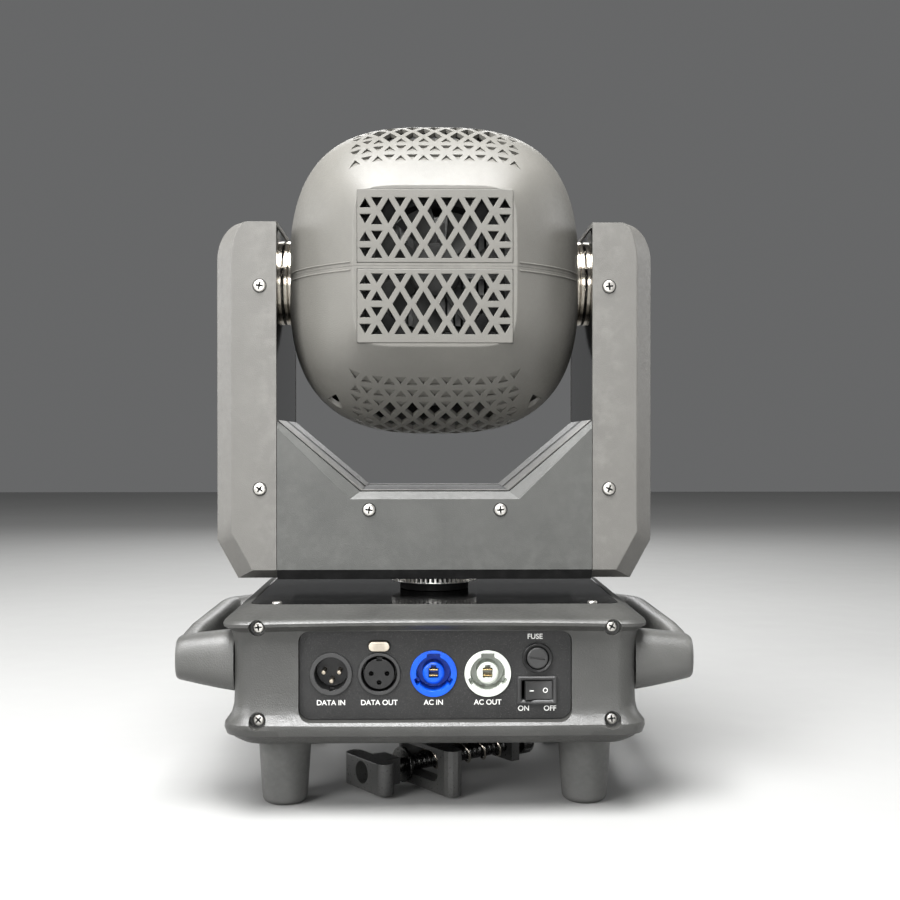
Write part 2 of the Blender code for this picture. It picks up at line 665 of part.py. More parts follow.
def arm_cover(name, side, yoke):
    """A cup with broad bevels front and rear, open towards the head."""
    def rings(wall, open_side):
        sections = []
        for y, bevel in ((-YOKE_Y + wall, 1), (-43.0, 0), (43.0, 0), (YOKE_Y - wall, 1)):
            outline = arm_outline(bevel, wall, open_side)
            sections.append([(side * x, y, z) for x, z in outline])
        return sections

    cover = loft(name, rings(0.0, ARM_IN), BLACK, None, yoke)
    boolean(cover, loft(name + "_hollow", rings(COVER_WALL, ARM_IN - 8)))


def arm_frame(name, side, yoke):
    outline = [(-42.6, 125.6), (42.6, 125.6), (50.8, 131.0), (50.8, 318.4), (42.6, 323.8),
               (-42.6, 323.8), (-50.8, 318.4), (-50.8, 131.0)]
    hole = circle(SHAFT_R + GAP, (0, TILT_Z), 32)
    low, high = sorted((side * (ARM_IN + 0.1), side * (ARM_IN + 3.1)))
    plate(name, [outline, hole], low, high, STEEL, pose("right"), yoke)


def yoke_arms(yoke):
    for side, word in ((-1, "left"), (1, "right")):
        arm_cover(f"arm_cover_{word}", side, yoke)
        arm_frame(f"arm_frame_{word}", side, yoke)


def tilt_drive(yoke):
    box("tilt_motor", (94.1, -21, TILT_MOTOR_Z - 21), (111.8, 21, TILT_MOTOR_Z + 21), STEEL, yoke,
        bevel=2.0)
    axis = axis_empty("tilt_motor_axis", (0, 0, TILT_MOTOR_Z), yoke)
    place = pose("right", (0, 0, TILT_MOTOR_Z))
    low, high = TILT_BELT_X
    stem = [(0, high), (SMALL_PULLEY_R, high), (SMALL_PULLEY_R, low), (2.5, low), (2.5, 112.1),
            (0, 112.1)]
    turned("tilt_motor_pulley", stem, BRASS, place, axis, steps=20)
    place = pose("right", (0, 0, TILT_Z))
    belt("tilt_belt", TILT_PULLEY_R, SMALL_PULLEY_R, TILT_Z - TILT_MOTOR_Z, low + 0.5, high - 0.5,
         place, yoke)


# ---------------------------------------------------------------- head

def ease(y, at_end, at_middle, power):
    """From the widest place at HEAD_MID to an end, with a sharper turn-in at the end."""
    end = HEAD_REAR if y < HEAD_MID else HEAD_FRONT
    t = abs(y - HEAD_MID) / abs(end - HEAD_MID)
    return at_end + (at_middle - at_end) * (1 - t ** power)


def head_section(y, inset):
    """Half-width, half-height and squareness of the head's outline at a depth."""
    if y < HEAD_MID:
        half_x = ease(y, REAR_FLAT_X, HEAD_HALF_X, 2.4)
        half_z = ease(y, REAR_FLAT_Z, HEAD_HALF_Z, 2.4)
        square = ease(y, 6.5, 2.8, 3.0)
    else:
        half_x = ease(y, BEZEL_R, HEAD_HALF_X, 2.5)
        half_z = ease(y, BEZEL_R, HEAD_HALF_Z, 2.5)
        square = ease(y, 2.0, 2.8, 1.0)
    return half_x - inset, half_z - inset, square


def head_arch(y, upper, inset, count):
    """Half of the outline, from the +X side over the top or under the bottom to -X."""
    half_x, half_z, square = head_section(y, inset)
    points = []
    for i in range(count + 1):
        angle = math.pi * i / count
        c, s = math.cos(angle), math.sin(angle)
        reach = (abs(c) ** square + abs(s) ** square) ** (-1 / square)
        height = max(half_z * s * reach, 0.0) + GAP / 2
        points.append(Vector((half_x * c * reach, y, TILT_Z + (height if upper else -height))))
    return points


def head_depths(wall):
    rear = [HEAD_REAR + wall, -76.0 + wall, -70.0, -60.0, -46.0, -28.0, HEAD_MID]
    return rear + [20.0, 45.0, 66.0, 83.0, HEAD_FRONT]


def head_shell(name, upper, tilt, count=16):
    """Half of the barrel: an outer and an inner skin, joined along the parting and at the front."""
    bm = bmesh.new()

    def skin(inset, wall):
        rows = []
        for y in head_depths(wall):
            arch = head_arch(y - wall if y < HEAD_MID - 20 else y, upper, inset, count)
            rows.append([bm.verts.new((p.x, y, p.z)) for p in arch])
        return rows

    outer, inner = skin(0.0, 0.0), skin(SHELL_WALL, SHELL_WALL)
    for rows in (outer, inner):
        bm.faces.new(rows[0])
        for first, second in zip(rows, rows[1:]):
            for i in range(count):
                bm.faces.new((first[i], second[i], second[i + 1], first[i + 1]))
    for i in range(count):
        bm.faces.new((outer[-1][i], inner[-1][i], inner[-1][i + 1], outer[-1][i + 1]))
    for edge in (0, count):
        for j in range(len(outer) - 1):
            bm.faces.new((outer[j][edge], outer[j + 1][edge], inner[j + 1][edge], inner[j][edge]))
    bm.faces.new((outer[0][0], outer[0][count], inner[0][count], inner[0][0]))
    bmesh.ops.recalc_face_normals(bm, faces=bm.faces)
    shell = add_object(name, mesh_from(bm, name), BLACK, None, tilt)
    for direction in ("left", "right"):
        place = pose(direction, (0, 0, TILT_Z))
        boolean(shell, disc("hub_opening", HUB_R + 0.8, 70, 100, matrix=place))
    boolean(shell, rear_grille(name, 1 if upper else -1))
    boolean(shell, crown_grille(name, upper))
    return shell


def diamonds(name, cells, half, depth, matrix):
    """Four-sided prisms standing at each cell's middle."""
    bm = bmesh.new()
    for x, y in cells:
        corners = [(x - half[0], y), (x, y - half[1]), (x + half[0], y), (x, y + half[1])]
        low = [bm.verts.new((px, py, depth[0])) for px, py in corners]
        high = [bm.verts.new((px, py, depth[1])) for px, py in corners]
        bm.faces.new(list(reversed(low)))
        bm.faces.new(high)
        for i in range(4):
            j = (i + 1) % 4
            bm.faces.new((low[i], low[j], high[j], high[i]))
    return add_object(name, mesh_from(bm, name), matrix=matrix)


def rear_grille(name, side):
    """Three rows of diamonds, five and four and five, in the rear flat."""
    middle = TILT_Z + side * GRILLE_MID
    cells = []
    for row, count in ((-1, 5), (0, 4), (1, 5)):
        for i in range(count):
            cells.append(((i - (count - 1) / 2) * GRILLE_PITCH_X, middle + row * GRILLE_PITCH_Z))
    return diamonds(name + "_rear_grille", cells, (4.2, 6.4), (70, 90), pose("rear"))


def crown_grille(name, upper):
    """Rows of diamonds through the top or the bottom of the barrel."""
    depth = (TILT_Z + 60, TILT_Z + 100) if upper else (TILT_Z - 100, TILT_Z - 60)
    cells = []
    for row in range(3):
        count = 5 + row % 2
        for i in range(count):
            cells.append(((i - (count - 1) / 2) * GRILLE_PITCH_X, -22 + row * GRILLE_PITCH_Z))
    return diamonds(name + "_crown_grille", cells, (4.2, 6.4), depth, pose())


def tilt_hubs(tilt):
    low, high = TILT_BELT_X
    pulley = [(0, high), (TILT_PULLEY_R, high), (TILT_PULLEY_R, low), (SHAFT_R, low)]
    stub = [(0, 100.0), (SHAFT_R, 100.0)]
    for word, end in (("left", stub), ("right", pulley)):
        place = pose(word, (0, 0, TILT_Z))
        flange = [(SHAFT_R, 90.3), (HUB_R, 90.3), (HUB_R, 88.8), (23.0, 88.6), (23.0, 82.7)]
        turned(f"tilt_hub_{word}", end + flange + [(0, 82.7)], METAL, place, tilt)


def optics(tilt):
    place = pose("front", (0, 0, TILT_Z))
    bezel = [(56.0, 105.0), (BEZEL_R, 103.0), (BEZEL_R, HEAD_FRONT + GAP),
             (50.0, HEAD_FRONT + GAP), (50.0, 103.0), (52.0, 105.0)]
    turned("lens_bezel", bezel, BLACK, place, tilt, steps=32, closed=True)
    lens = [(0, 104.0), (20, 103.4), (36, 101.8), (LENS_R, 99.5), (LENS_R, 97.6), (0, 97.6)]
    turned("front_lens", lens, GLASS, place, tilt, steps=32)
    wheel_at = pose("front", (0, 0, TILT_Z - 38))
    wheel = disc("colour_wheel", 36.0, 30.0, 31.5, METAL, wheel_at, tilt)
    for i in range(8):
        turn = Matrix.Rotation(math.radians(45 * i), 4, "Z")
        hole = disc("filter_hole", 9.0, 28, 34, matrix=wheel_at @ turn @ pose(at=(24, 0, 0)),
                    steps=8)
        boolean(wheel, hole)


def light_engine(tilt):
    outline = [(-82.3, -20), (-60, -42), (60, -42), (82.3, -20), (82.3, 20), (60, 42), (-60, 42),
               (-82.3, 20)]
    place = pose("front", (0, 0, TILT_Z))
    plate("head_chassis", [outline, circle(22)], 4, 7, STEEL, place, tilt)
    fins = [(-30, 2), (-30, -44)]
    pitch = 60 / 9
    for i in range(9):
        x = -30 + pitch * (i + 0.4)
        fins += [(x, -44), (x, -6), (x + pitch * 0.6, -6), (x + pitch * 0.6, -44)]
    fins += [(30, -44), (30, 2)]
    plate("heat_sink", [fins], TILT_Z - 30, TILT_Z + 30, METAL, None, tilt)


def cooling_fan(tilt):
    place = pose("rear", (0, 0, TILT_Z))
    frame = [rectangle((39.0, 39.0), corner=5.0), circle(36.5, count=32)]
    plate("fan_frame", frame, 52, 70, DARK, place, tilt)
    blades, blade = 7, []
    for i in range(blades):
        for step, radius in ((0.0, 14.0), (0.06, 35.0), (0.42, 35.0), (0.55, 14.0)):
            angle = 2 * math.pi * (i + step) / blades
            blade.append((radius * math.cos(angle), radius * math.sin(angle)))
    plate("fan_rotor", [blade], 56, 67, RUBBER, place, tilt)


# ---------------------------------------------------------------- the whole object

def build():
    base_housing()
    base_plates()
    for x, column in ((-FOOT_X, "left"), (FOOT_X, "right")):
        for y, row in ((-FOOT_Y, "rear"), (FOOT_Y, "front")):
            foot(f"foot_{row}_{column}", x, y)
    handle("handle_left", -1)
    handle("handle_right", 1)
    base_inside()
    connector_panel()
    signal_sockets()
    power_sockets()
    fuse()
    power_switch()
    display_panel()
    omega_bracket()
    clamp_pieces()
    yoke = axis_empty("pan_axis", (0, 0, 0))
    pan_drive(yoke)
    crossbar(yoke)
    yoke_arms(yoke)
    tilt_drive(yoke)
    tilt = axis_empty("tilt_axis", (0, 0, TILT_Z), yoke)
    head_shell("head_shell_upper", True, tilt)
    head_shell("head_shell_lower", False, tilt)
    tilt_hubs(tilt)
    optics(tilt)
    light_engine(tilt)
    cooling_fan(tilt)


build()
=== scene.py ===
"""Looks of the moving head light: fine casings, grilles, sockets, screws, clamp and materials.

Lengths are in millimetres and turned into metres by MM when a mesh is made. The connector
panel faces -Y, the lens +Y, and the tilt axis is parallel to X at TILT_Z.
"""
import json
import math

import bmesh
import bpy
from mathutils import Matrix, Vector

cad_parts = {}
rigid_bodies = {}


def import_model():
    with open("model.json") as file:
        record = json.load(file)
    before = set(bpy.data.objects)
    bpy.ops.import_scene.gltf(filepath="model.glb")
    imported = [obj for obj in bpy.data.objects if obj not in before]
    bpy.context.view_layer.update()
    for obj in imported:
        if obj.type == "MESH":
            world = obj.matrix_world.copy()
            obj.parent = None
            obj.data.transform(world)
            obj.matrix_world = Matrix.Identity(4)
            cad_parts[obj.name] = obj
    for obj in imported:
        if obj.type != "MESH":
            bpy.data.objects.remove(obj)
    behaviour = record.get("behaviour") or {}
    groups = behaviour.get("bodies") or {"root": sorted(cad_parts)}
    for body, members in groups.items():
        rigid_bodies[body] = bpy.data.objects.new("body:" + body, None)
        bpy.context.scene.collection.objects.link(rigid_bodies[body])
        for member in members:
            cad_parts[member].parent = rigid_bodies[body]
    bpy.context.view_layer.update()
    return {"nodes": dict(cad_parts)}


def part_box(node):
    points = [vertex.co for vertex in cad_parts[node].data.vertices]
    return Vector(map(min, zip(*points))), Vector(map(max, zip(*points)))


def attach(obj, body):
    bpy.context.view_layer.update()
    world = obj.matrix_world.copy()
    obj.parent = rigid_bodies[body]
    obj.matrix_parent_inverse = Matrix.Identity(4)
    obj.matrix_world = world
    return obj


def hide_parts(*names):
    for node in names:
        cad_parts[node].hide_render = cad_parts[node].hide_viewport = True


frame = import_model()

MM = 0.001
TILT_Z = 298
PANEL_FACE = 98.5
PANEL_MID = 76
SOCKET_Z = 76.6
SOCKET_X = {"signal_in": -56, "signal_out": -30.2, "power_in": -1, "power_out": 28.1}
SIGNAL_R = 10.7
POWER_R = 11.8
CONTACTS = ((-4.2, 0.2), (4.2, 0.2), (0, -4.6))
TAB_Z = 91.5
FUSE = (54.8, 85)
SWITCH = (54.6, 67.6)
ARM_IN = 90.6
ARM_OUT = 126
YOKE_Y = 54
YOKE_BOTTOM = 122
YOKE_TOP = 327.5
PITCH_X = 12.86
PITCH_Z = 9.25
DIAMOND = (4.15, 6.9)
SPLIT_BAR = 1.8
CLAMP_TURN = 36
CLAMP_V = -20.2
CLAMP_BOLT_Z = 12
SIDES = ((-1, "left"), (1, "right"))
ENDS = ((-1, "rear"), (1, "front"))

TOWARDS = {
    "up": Matrix.Identity(4),
    "rear": Matrix.Rotation(math.radians(90), 4, "X"),
    "front": Matrix.Rotation(math.radians(-90), 4, "X") @ Matrix.Rotation(math.pi, 4, "Z"),
    "right": Matrix(((0, 0, 1, 0), (1, 0, 0, 0), (0, 1, 0, 0), (0, 0, 0, 1))),
    "left": Matrix(((0, 0, -1, 0), (-1, 0, 0, 0), (0, 1, 0, 0), (0, 0, 0, 1))),
}


def pose(direction="up", at=(0, 0, 0)):
    """Turns local +Z towards a direction and moves the origin to a point in millimetres."""
    return Matrix.Translation(Vector(at) * MM) @ TOWARDS[direction]


def spin(degrees):
    return Matrix.Rotation(math.radians(degrees), 4, "Z")


def clamp_pose(v=0, z=0, direction="up"):
    return spin(CLAMP_TURN) @ pose(direction, (0, v, z))


# ---- materials

class Shade:
    """A Principled material with helpers for the node chains used below."""

    def __init__(self, name):
        self.mat = bpy.data.materials.new(name)
        self.mat.use_nodes = True
        self.tree = self.mat.node_tree
        self.shader = self.tree.nodes["Principled BSDF"]
        self.coords = self.tree.nodes.new("ShaderNodeTexCoord").outputs["Object"]

    def feed(self, socket, value):
        """Links an output to a socket, or sets the socket to a constant."""
        if isinstance(value, bpy.types.NodeSocket):
            self.tree.links.new(value, socket)
        else:
            socket.default_value = value

    def node(self, kind, output, **inputs):
        """Adds a node, feeds its inputs and returns one of its outputs."""
        node = self.tree.nodes.new("ShaderNode" + kind)
        for name, value in inputs.items():
            self.feed(node.inputs[name.replace("_", " ")], value)
        return node.outputs[output]

    def finished(self, color, rough, normal=None, **inputs):
        """Feeds the shader and returns the material."""
        inputs.update(Base_Color=color, Roughness=rough)
        if normal:
            inputs["Normal"] = normal
        for name, value in inputs.items():
            self.feed(self.shader.inputs[name.replace("_", " ")], value)
        return self.mat

    def noise(self, scale, detail=4, roughness=0.55):
        return self.node("TexNoise", "Fac", Vector=self.coords, Scale=scale, Detail=detail,
                         Roughness=roughness)

    def ramp(self, source, low, high, start=0.3, end=0.7):
        return self.node("MapRange", "Result", Value=source, From_Min=start, From_Max=end,
                         To_Min=low, To_Max=high)

    def mix(self, factor, *colours):
        """Blends two colours, each an (r, g, b), a grey or an output, by a factor output."""
        node = self.tree.nodes.new("ShaderNodeMix")
        node.data_type = "RGBA"
        self.feed(node.inputs["Factor"], factor)
        for socket, value in zip((s for s in node.inputs if s.type == "RGBA"), colours):
            made = isinstance(value, bpy.types.NodeSocket)
            self.feed(socket, value if made else (*rgb(value), 1))
        return [s for s in node.outputs if s.type == "RGBA"][0]

    def mottled(self, dark, light, scale, detail=4):
        return self.mix(self.ramp(self.noise(scale, detail), 0, 1), dark, light)

    def bump(self, height, distance):
        return self.node("Bump", "Normal", Height=height, Strength=1, Distance=distance)


def rgb(value):
    """A colour as it is, or a grey from one number."""
    return value if isinstance(value, tuple) else (value,) * 3


def grained_plastic(name, dark, light, rough, depth=0.00005, grain=1700, gloss=0.5):
    """Moulded plastic: fine grain, faint mottling, slightly paler worn edges."""
    s = Shade(name)
    worn = tuple(min(1, c * 1.7 + 0.02) for c in rgb(light))
    edge = s.tree.nodes.new("ShaderNodeMath")
    edge.operation = "MULTIPLY"
    s.feed(edge.inputs[0], s.ramp(s.node("NewGeometry", "Pointiness"), 0, 1, 0.515, 0.6))
    s.feed(edge.inputs[1], s.ramp(s.noise(160, 6), 0, 0.25, 0.45, 0.75))
    color = s.mix(edge.outputs[0], s.mottled(dark, light, 38, 5), worn)
    normal = s.bump(s.noise(grain, 2, 0.6), depth)
    return s.finished(color, s.ramp(s.noise(420, 3), *rough), normal, Specular_IOR_Level=gloss)


def speckled_paint(name, dark, light, speck, rough, gloss=0.5):
    """Powder coat: fine orange peel with tiny bright flecks."""
    s = Shade(name)
    flecks = s.ramp(s.noise(3200, 1), 0, 1, 0.66, 0.74)
    color = s.mix(flecks, s.mottled(dark, light, 55), speck)
    normal = s.bump(s.noise(1500, 3), 0.00008)
    return s.finished(color, s.ramp(s.noise(700, 3), *rough), normal, Specular_IOR_Level=gloss)


def bright_metal(name, dark, light, rough=(0.18, 0.32), marks_depth=0.00001):
    """Plated or machined metal: fine tool marks and a little tarnish."""
    s = Shade(name)
    color = s.mix(s.ramp(s.noise(90, 6), 0, 1, 0.35, 0.75), light, dark)
    marks = s.noise(600, 4, 0.6)
    return s.finished(color, s.ramp(marks, *rough), s.bump(marks, marks_depth), Metallic=1)


def gloss_plastic(name, dark, light, rough=(0.3, 0.42), gloss=0.5):
    s = Shade(name)
    color, normal = s.mottled(dark, light, 60), s.bump(s.noise(900, 2), 0.00001)
    return s.finished(color, s.ramp(s.noise(240, 5), *rough), normal, Specular_IOR_Level=gloss)


def rubber(name, dark, light):
    s = Shade(name)
    color, normal = s.mottled(dark, light, 70, 5), s.bump(s.noise(1300, 3), 0.00008)
    return s.finished(color, s.ramp(s.noise(300), 0.62, 0.85), normal)


def lens_glass(name, tint):
    s = Shade(name)
    rough, normal = s.ramp(s.noise(50, 3), 0.01, 0.05), s.bump(s.noise(30, 2), 0.000005)
    return s.finished((*tint, 1), rough, normal, Transmission_Weight=1, IOR=1.49, Coat_Weight=0.4)


MATT = (0.44, 0.56)
SATIN = (0.36, 0.48)
LOOK = {
    "head": grained_plastic("head_plastic", (0.103, 0.1, 0.09), (0.117, 0.113, 0.102), MATT, 0.00012),
    "arm": grained_plastic("arm_plastic", (0.099, 0.096, 0.089), (0.109, 0.106, 0.098), MATT, 0.00012),
    "cross": grained_plastic("crossbar_plastic", (0.046, 0.047, 0.044), (0.06, 0.061, 0.057),
                             (0.4, 0.52), 0.0001),
    "base": grained_plastic("base_plastic", (0.03, 0.03, 0.028), (0.044, 0.044, 0.041),
                            SATIN, 0.0002, 1300, 0.6),
    "handle": grained_plastic("handle_plastic", (0.052, 0.052, 0.049), (0.074, 0.074, 0.07),
                              SATIN, 0.0002, 1300, 0.6),
    "panel": speckled_paint("panel_paint", 0.009, 0.015, (0.13, 0.13, 0.125), (0.4, 0.56), 0.35),
    # inner black for black parts, also used below as painted shade in screw recesses and countersink gaps,
    # gear tooth roots, socket holes and under the crossbar
    "black": grained_plastic("inner_black", 0.006, 0.011, (0.55, 0.7), gloss=0.2),
    "top": gloss_plastic("top_plate_gloss", 0.004, 0.008, (0.08, 0.16), 0.1),
    "lacquer": gloss_plastic("arm_wall_gloss", 0.002, 0.004, (0.04, 0.09), 0.6),
    "socket": gloss_plastic("socket_black", 0.004, 0.009, gloss=0.4),
    "rim": gloss_plastic("socket_rim", 0.018, 0.03, (0.34, 0.46)),
    "blue": gloss_plastic("power_blue", (0.001, 0.055, 0.44), (0.002, 0.085, 0.62), gloss=0.3),
    "ivory": gloss_plastic("power_ivory", (0.5, 0.53, 0.48), (0.58, 0.61, 0.56)),
    "screw": bright_metal("screw_nickel", (0.46, 0.45, 0.42), (0.72, 0.7, 0.66), (0.3, 0.42), 0),
    "chrome": bright_metal("polished_nickel", (0.46, 0.41, 0.34), (0.66, 0.61, 0.53), (0.12, 0.22), 0),
    "steel": bright_metal("bright_steel", (0.42, 0.41, 0.38), (0.8, 0.79, 0.75)),
    "gear": bright_metal("gear_nickel", (0.74, 0.72, 0.68), (0.94, 0.92, 0.88), (0.36, 0.5), 0),
    "tab": bright_metal("tab_nickel", (0.3, 0.26, 0.2), (0.62, 0.56, 0.47), (0.42, 0.55), 0.00003),
    "brass": bright_metal("contact_brass", (0.4, 0.27, 0.11), (0.78, 0.6, 0.3)),
    "dark_steel": bright_metal("bolt_steel", 0.06, (0.12, 0.12, 0.115), (0.22, 0.34), 0),
    "clamp": speckled_paint("clamp_coat", 0.026, (0.042, 0.042, 0.04), (0.1, 0.1, 0.095), (0.26, 0.36)),
    "foot": rubber("foot_rubber", (0.062, 0.062, 0.06), (0.09, 0.09, 0.086)),
    "key": rubber("key_rubber", 0.03, 0.045),
    "belt": rubber("belt_rubber", 0.01, 0.02),
    "fan": grained_plastic("fan_grey", (0.035, 0.035, 0.034), (0.055, 0.055, 0.053), (0.6, 0.72), gloss=0.2),
    "white": gloss_plastic("print_white", (0.6, 0.6, 0.58), (0.68, 0.68, 0.66), (0.4, 0.5)),
    "glass": lens_glass("clear_glass", (0.9, 0.95, 0.96)),
    "display": gloss_plastic("display_glass", (0.004, 0.008, 0.016), (0.008, 0.014, 0.028), (0.05, 0.12)),
    "alloy": bright_metal("alloy", 0.1, (0.2, 0.2, 0.195), (0.5, 0.65)),
}


# ---- making pieces

def detail(obj, body, look, node, sharp=35, replaces=()):
    """Gives a mesh its material and smoothing and lets it ride on a body; node is not used."""
    obj.data.materials.clear()
    obj.data.materials.append(LOOK[look])
    obj.data.shade_smooth()
    obj.data.set_sharp_from_angle(angle=math.radians(sharp))
    flat = obj.modifiers.new("flat_faces", "WEIGHTED_NORMAL")
    flat.keep_sharp = True
    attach(obj, body)
    if replaces:
        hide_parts(*replaces)


def stand_in(obj, body, look, node, sharp=35):
    """A detail that replaces the whole node."""
    detail(obj, body, look, node, sharp, (node,))


def added(name, data):
    obj = bpy.data.objects.new(name, data)
    bpy.context.scene.collection.objects.link(obj)
    return obj


def link(name, mesh, matrix=None):
    obj = added(name, mesh)
    obj.matrix_world = matrix or Matrix.Identity(4)
    bpy.context.view_layer.update()
    return obj


def discard(*objects):
    for obj in objects:
        bpy.data.objects.remove(obj, do_unlink=True)


def from_bmesh(name, bm, matrix=None):
    bmesh.ops.recalc_face_normals(bm, faces=bm.faces)
    mesh = bpy.data.meshes.new(name)
    bmesh.ops.scale(bm, vec=(MM, MM, MM), verts=bm.verts)
    bm.to_mesh(mesh)
    bm.free()
    return link(name, mesh, matrix)


def evaluated(obj):
    """A new mesh of the object with its settings and modifiers applied."""
    graph = bpy.context.evaluated_depsgraph_get()
    return bpy.data.meshes.new_from_object(obj.evaluated_get(graph))


def from_curve(name, curve):
    guide = link(name + "_guide", curve)
    mesh = evaluated(guide)
    discard(guide)
    return mesh


def baked(obj):
    """The object with its modifiers applied."""
    mesh, old = evaluated(obj), obj.data
    obj.modifiers.clear()
    obj.data = mesh
    if old.users == 0:
        bpy.data.meshes.remove(old)
    return obj


def thickened(obj, wall, even=False):
    solid = obj.modifiers.new("wall", "SOLIDIFY")
    solid.thickness = wall * MM
    solid.use_even_offset = even
    return baked(obj)


def cut(obj, *cutters, operation="DIFFERENCE"):
    for cutter in cutters:
        mod = obj.modifiers.new("cut", "BOOLEAN")
        mod.operation = operation
        mod.solver = "EXACT"
        mod.object = cutter
    baked(obj)
    discard(*cutters)


def bevelled(obj, width, angle):
    mod = obj.modifiers.new("round", "BEVEL")
    mod.width = width * MM
    mod.segments = 2
    mod.limit_method = "ANGLE"
    mod.angle_limit = math.radians(angle)
    baked(obj)


def skin(bm, rows, closed=False):
    """Faces between neighbouring rows of vertices, each row joined to its start when closed."""
    for first, second in zip(rows, rows[1:]):
        count = len(first)
        for i in range(count if closed else count - 1):
            j = (i + 1) % count
            bm.faces.new((first[i], second[i], second[j], first[j]))


def loft(name, rings, matrix=None, around=False):
    """Skins equal rings of 3D points, last to first when around, otherwise capped."""
    bm = bmesh.new()
    rows = [[bm.verts.new(p) for p in points] for points in rings]
    if not around:
        bm.faces.new(rows[0])
        bm.faces.new(list(reversed(rows[-1])))
    skin(bm, rows + rows[:1] if around else rows, closed=True)
    return from_bmesh(name, bm, matrix)


def turned(name, profile, matrix=None, steps=64, closed=False):
    """A (radius, height) profile turned about local Z."""
    bm = bmesh.new()
    verts = [bm.verts.new((r, 0, h)) for r, h in profile]
    pairs = list(zip(verts, verts[1:]))
    if closed:
        pairs.append((verts[-1], verts[0]))
    edges = [bm.edges.new(pair) for pair in pairs]
    bmesh.ops.spin(bm, geom=verts + edges, cent=(0, 0, 0), axis=(0, 0, 1), angle=2 * math.pi,
                   steps=steps, use_duplicate=False)
    bmesh.ops.remove_doubles(bm, verts=bm.verts, dist=0.001)
    return from_bmesh(name, bm, matrix)


def cylinder(name, radius, low, high, matrix=None, steps=64):
    return turned(name, [(0, high), (radius, high), (radius, low), (0, low)], matrix, steps)


def rounded(points, radius, steps=3):
    """A profile with each inner corner replaced by a short arc."""
    result = [points[0]]
    for before, corner, after in zip(points, points[1:], points[2:]):
        a, c, b = Vector(before), Vector(corner), Vector(after)
        reach = min(radius, (a - c).length * 0.45, (b - c).length * 0.45)
        start = c + (a - c).normalized() * reach
        end = c + (b - c).normalized() * reach
        for i in range(steps + 1):
            t = i / steps
            result.append(tuple(start * (1 - t) ** 2 + c * (2 * t * (1 - t)) + end * t ** 2))
    return result + [points[-1]]


def rounded_loop(points, radius):
    """The same for a closed profile, whose first corner stays sharp."""
    return rounded(points + points[:1], radius)[:-1]


def around_turn(count):
    """Count angles spread evenly over a full turn."""
    return [2 * math.pi * i / count for i in range(count)]


def circle(radius, at=(0, 0), count=64):
    return [(at[0] + radius * math.cos(a), at[1] + radius * math.sin(a)) for a in around_turn(count)]


def rectangle(half, at=(0, 0), corner=0, arc=8):
    points = []
    for quarter, (sx, sy) in enumerate(((1, 1), (-1, 1), (-1, -1), (1, -1))):
        x, y = at[0] + sx * (half[0] - corner), at[1] + sy * (half[1] - corner)
        for i in range(arc + 1 if corner else 1):
            angle = math.pi / 2 * (quarter + i / arc)
            points.append((x + corner * math.cos(angle), y + corner * math.sin(angle)))
    return points


def plate(name, loops, low, high, matrix=None, bevel=0):
    """Flat outlines, the first outside and the others holes, with rounded edges."""
    curve = bpy.data.curves.new(name, "CURVE")
    curve.dimensions = "2D"
    curve.fill_mode = "BOTH"
    curve.extrude = ((high - low) / 2 - bevel) * MM
    curve.bevel_depth = bevel * MM
    curve.bevel_resolution = 1
    curve.offset = -bevel * MM
    for loop in loops:
        spline = curve.splines.new("POLY")
        spline.points.add(len(loop) - 1)
        for point, (x, y) in zip(spline.points, loop):
            point.co = (x * MM, y * MM, 0, 1)
        spline.use_cyclic_u = True
    mesh = from_curve(name, curve)
    bm = bmesh.new()
    bm.from_mesh(mesh)
    bmesh.ops.remove_doubles(bm, verts=bm.verts, dist=0.000005)
    bmesh.ops.translate(bm, vec=(0, 0, (high + low) / 2 * MM), verts=bm.verts)
    bmesh.ops.recalc_face_normals(bm, faces=bm.faces)
    bm.to_mesh(mesh)
    bm.free()
    return link(name, mesh, matrix)


def block(name, low, high, matrix=None, bevel=0):
    bm = bmesh.new()
    bmesh.ops.create_cube(bm, size=1)
    bmesh.ops.scale(bm, vec=Vector(high) - Vector(low), verts=bm.verts)
    if bevel:
        bmesh.ops.bevel(bm, geom=bm.edges[:], offset=bevel, segments=2, profile=0.5, affect="EDGES")
    bmesh.ops.translate(bm, vec=(Vector(high) + Vector(low)) / 2, verts=bm.verts)
    return from_bmesh(name, bm, matrix)


def tube(name, points, radius, matrix=None, sides=3):
    """A round wire through 3D points."""
    curve = bpy.data.curves.new(name, "CURVE")
    curve.dimensions = "3D"
    curve.bevel_depth = radius * MM
    curve.bevel_resolution = sides
    curve.use_fill_caps = True
    spline = curve.splines.new("POLY")
    spline.points.add(len(points) - 1)
    for point, p in zip(spline.points, points):
        point.co = (*(Vector(p) * MM), 1)
    return link(name, from_curve(name, curve), matrix)


def lettering(name, text, size, matrix):
    curve = bpy.data.curves.new(name, "FONT")
    curve.body = text
    curve.size = size * MM
    curve.align_x = curve.align_y = "CENTER"
    curve.extrude = curve.offset = 0.05 * MM
    return link(name, from_curve(name, curve), matrix)


def paint_faces(obj, chosen):
    """Gives the faces that a test picks the inner black, used below as painted shade."""
    obj.data.materials.append(LOOK["black"])
    for face in obj.data.polygons:
        if chosen(face):
            face.material_index = 1


SCREW_SLOT = (2.1, 0.46, 0.2)
SCREW_R = 3.5


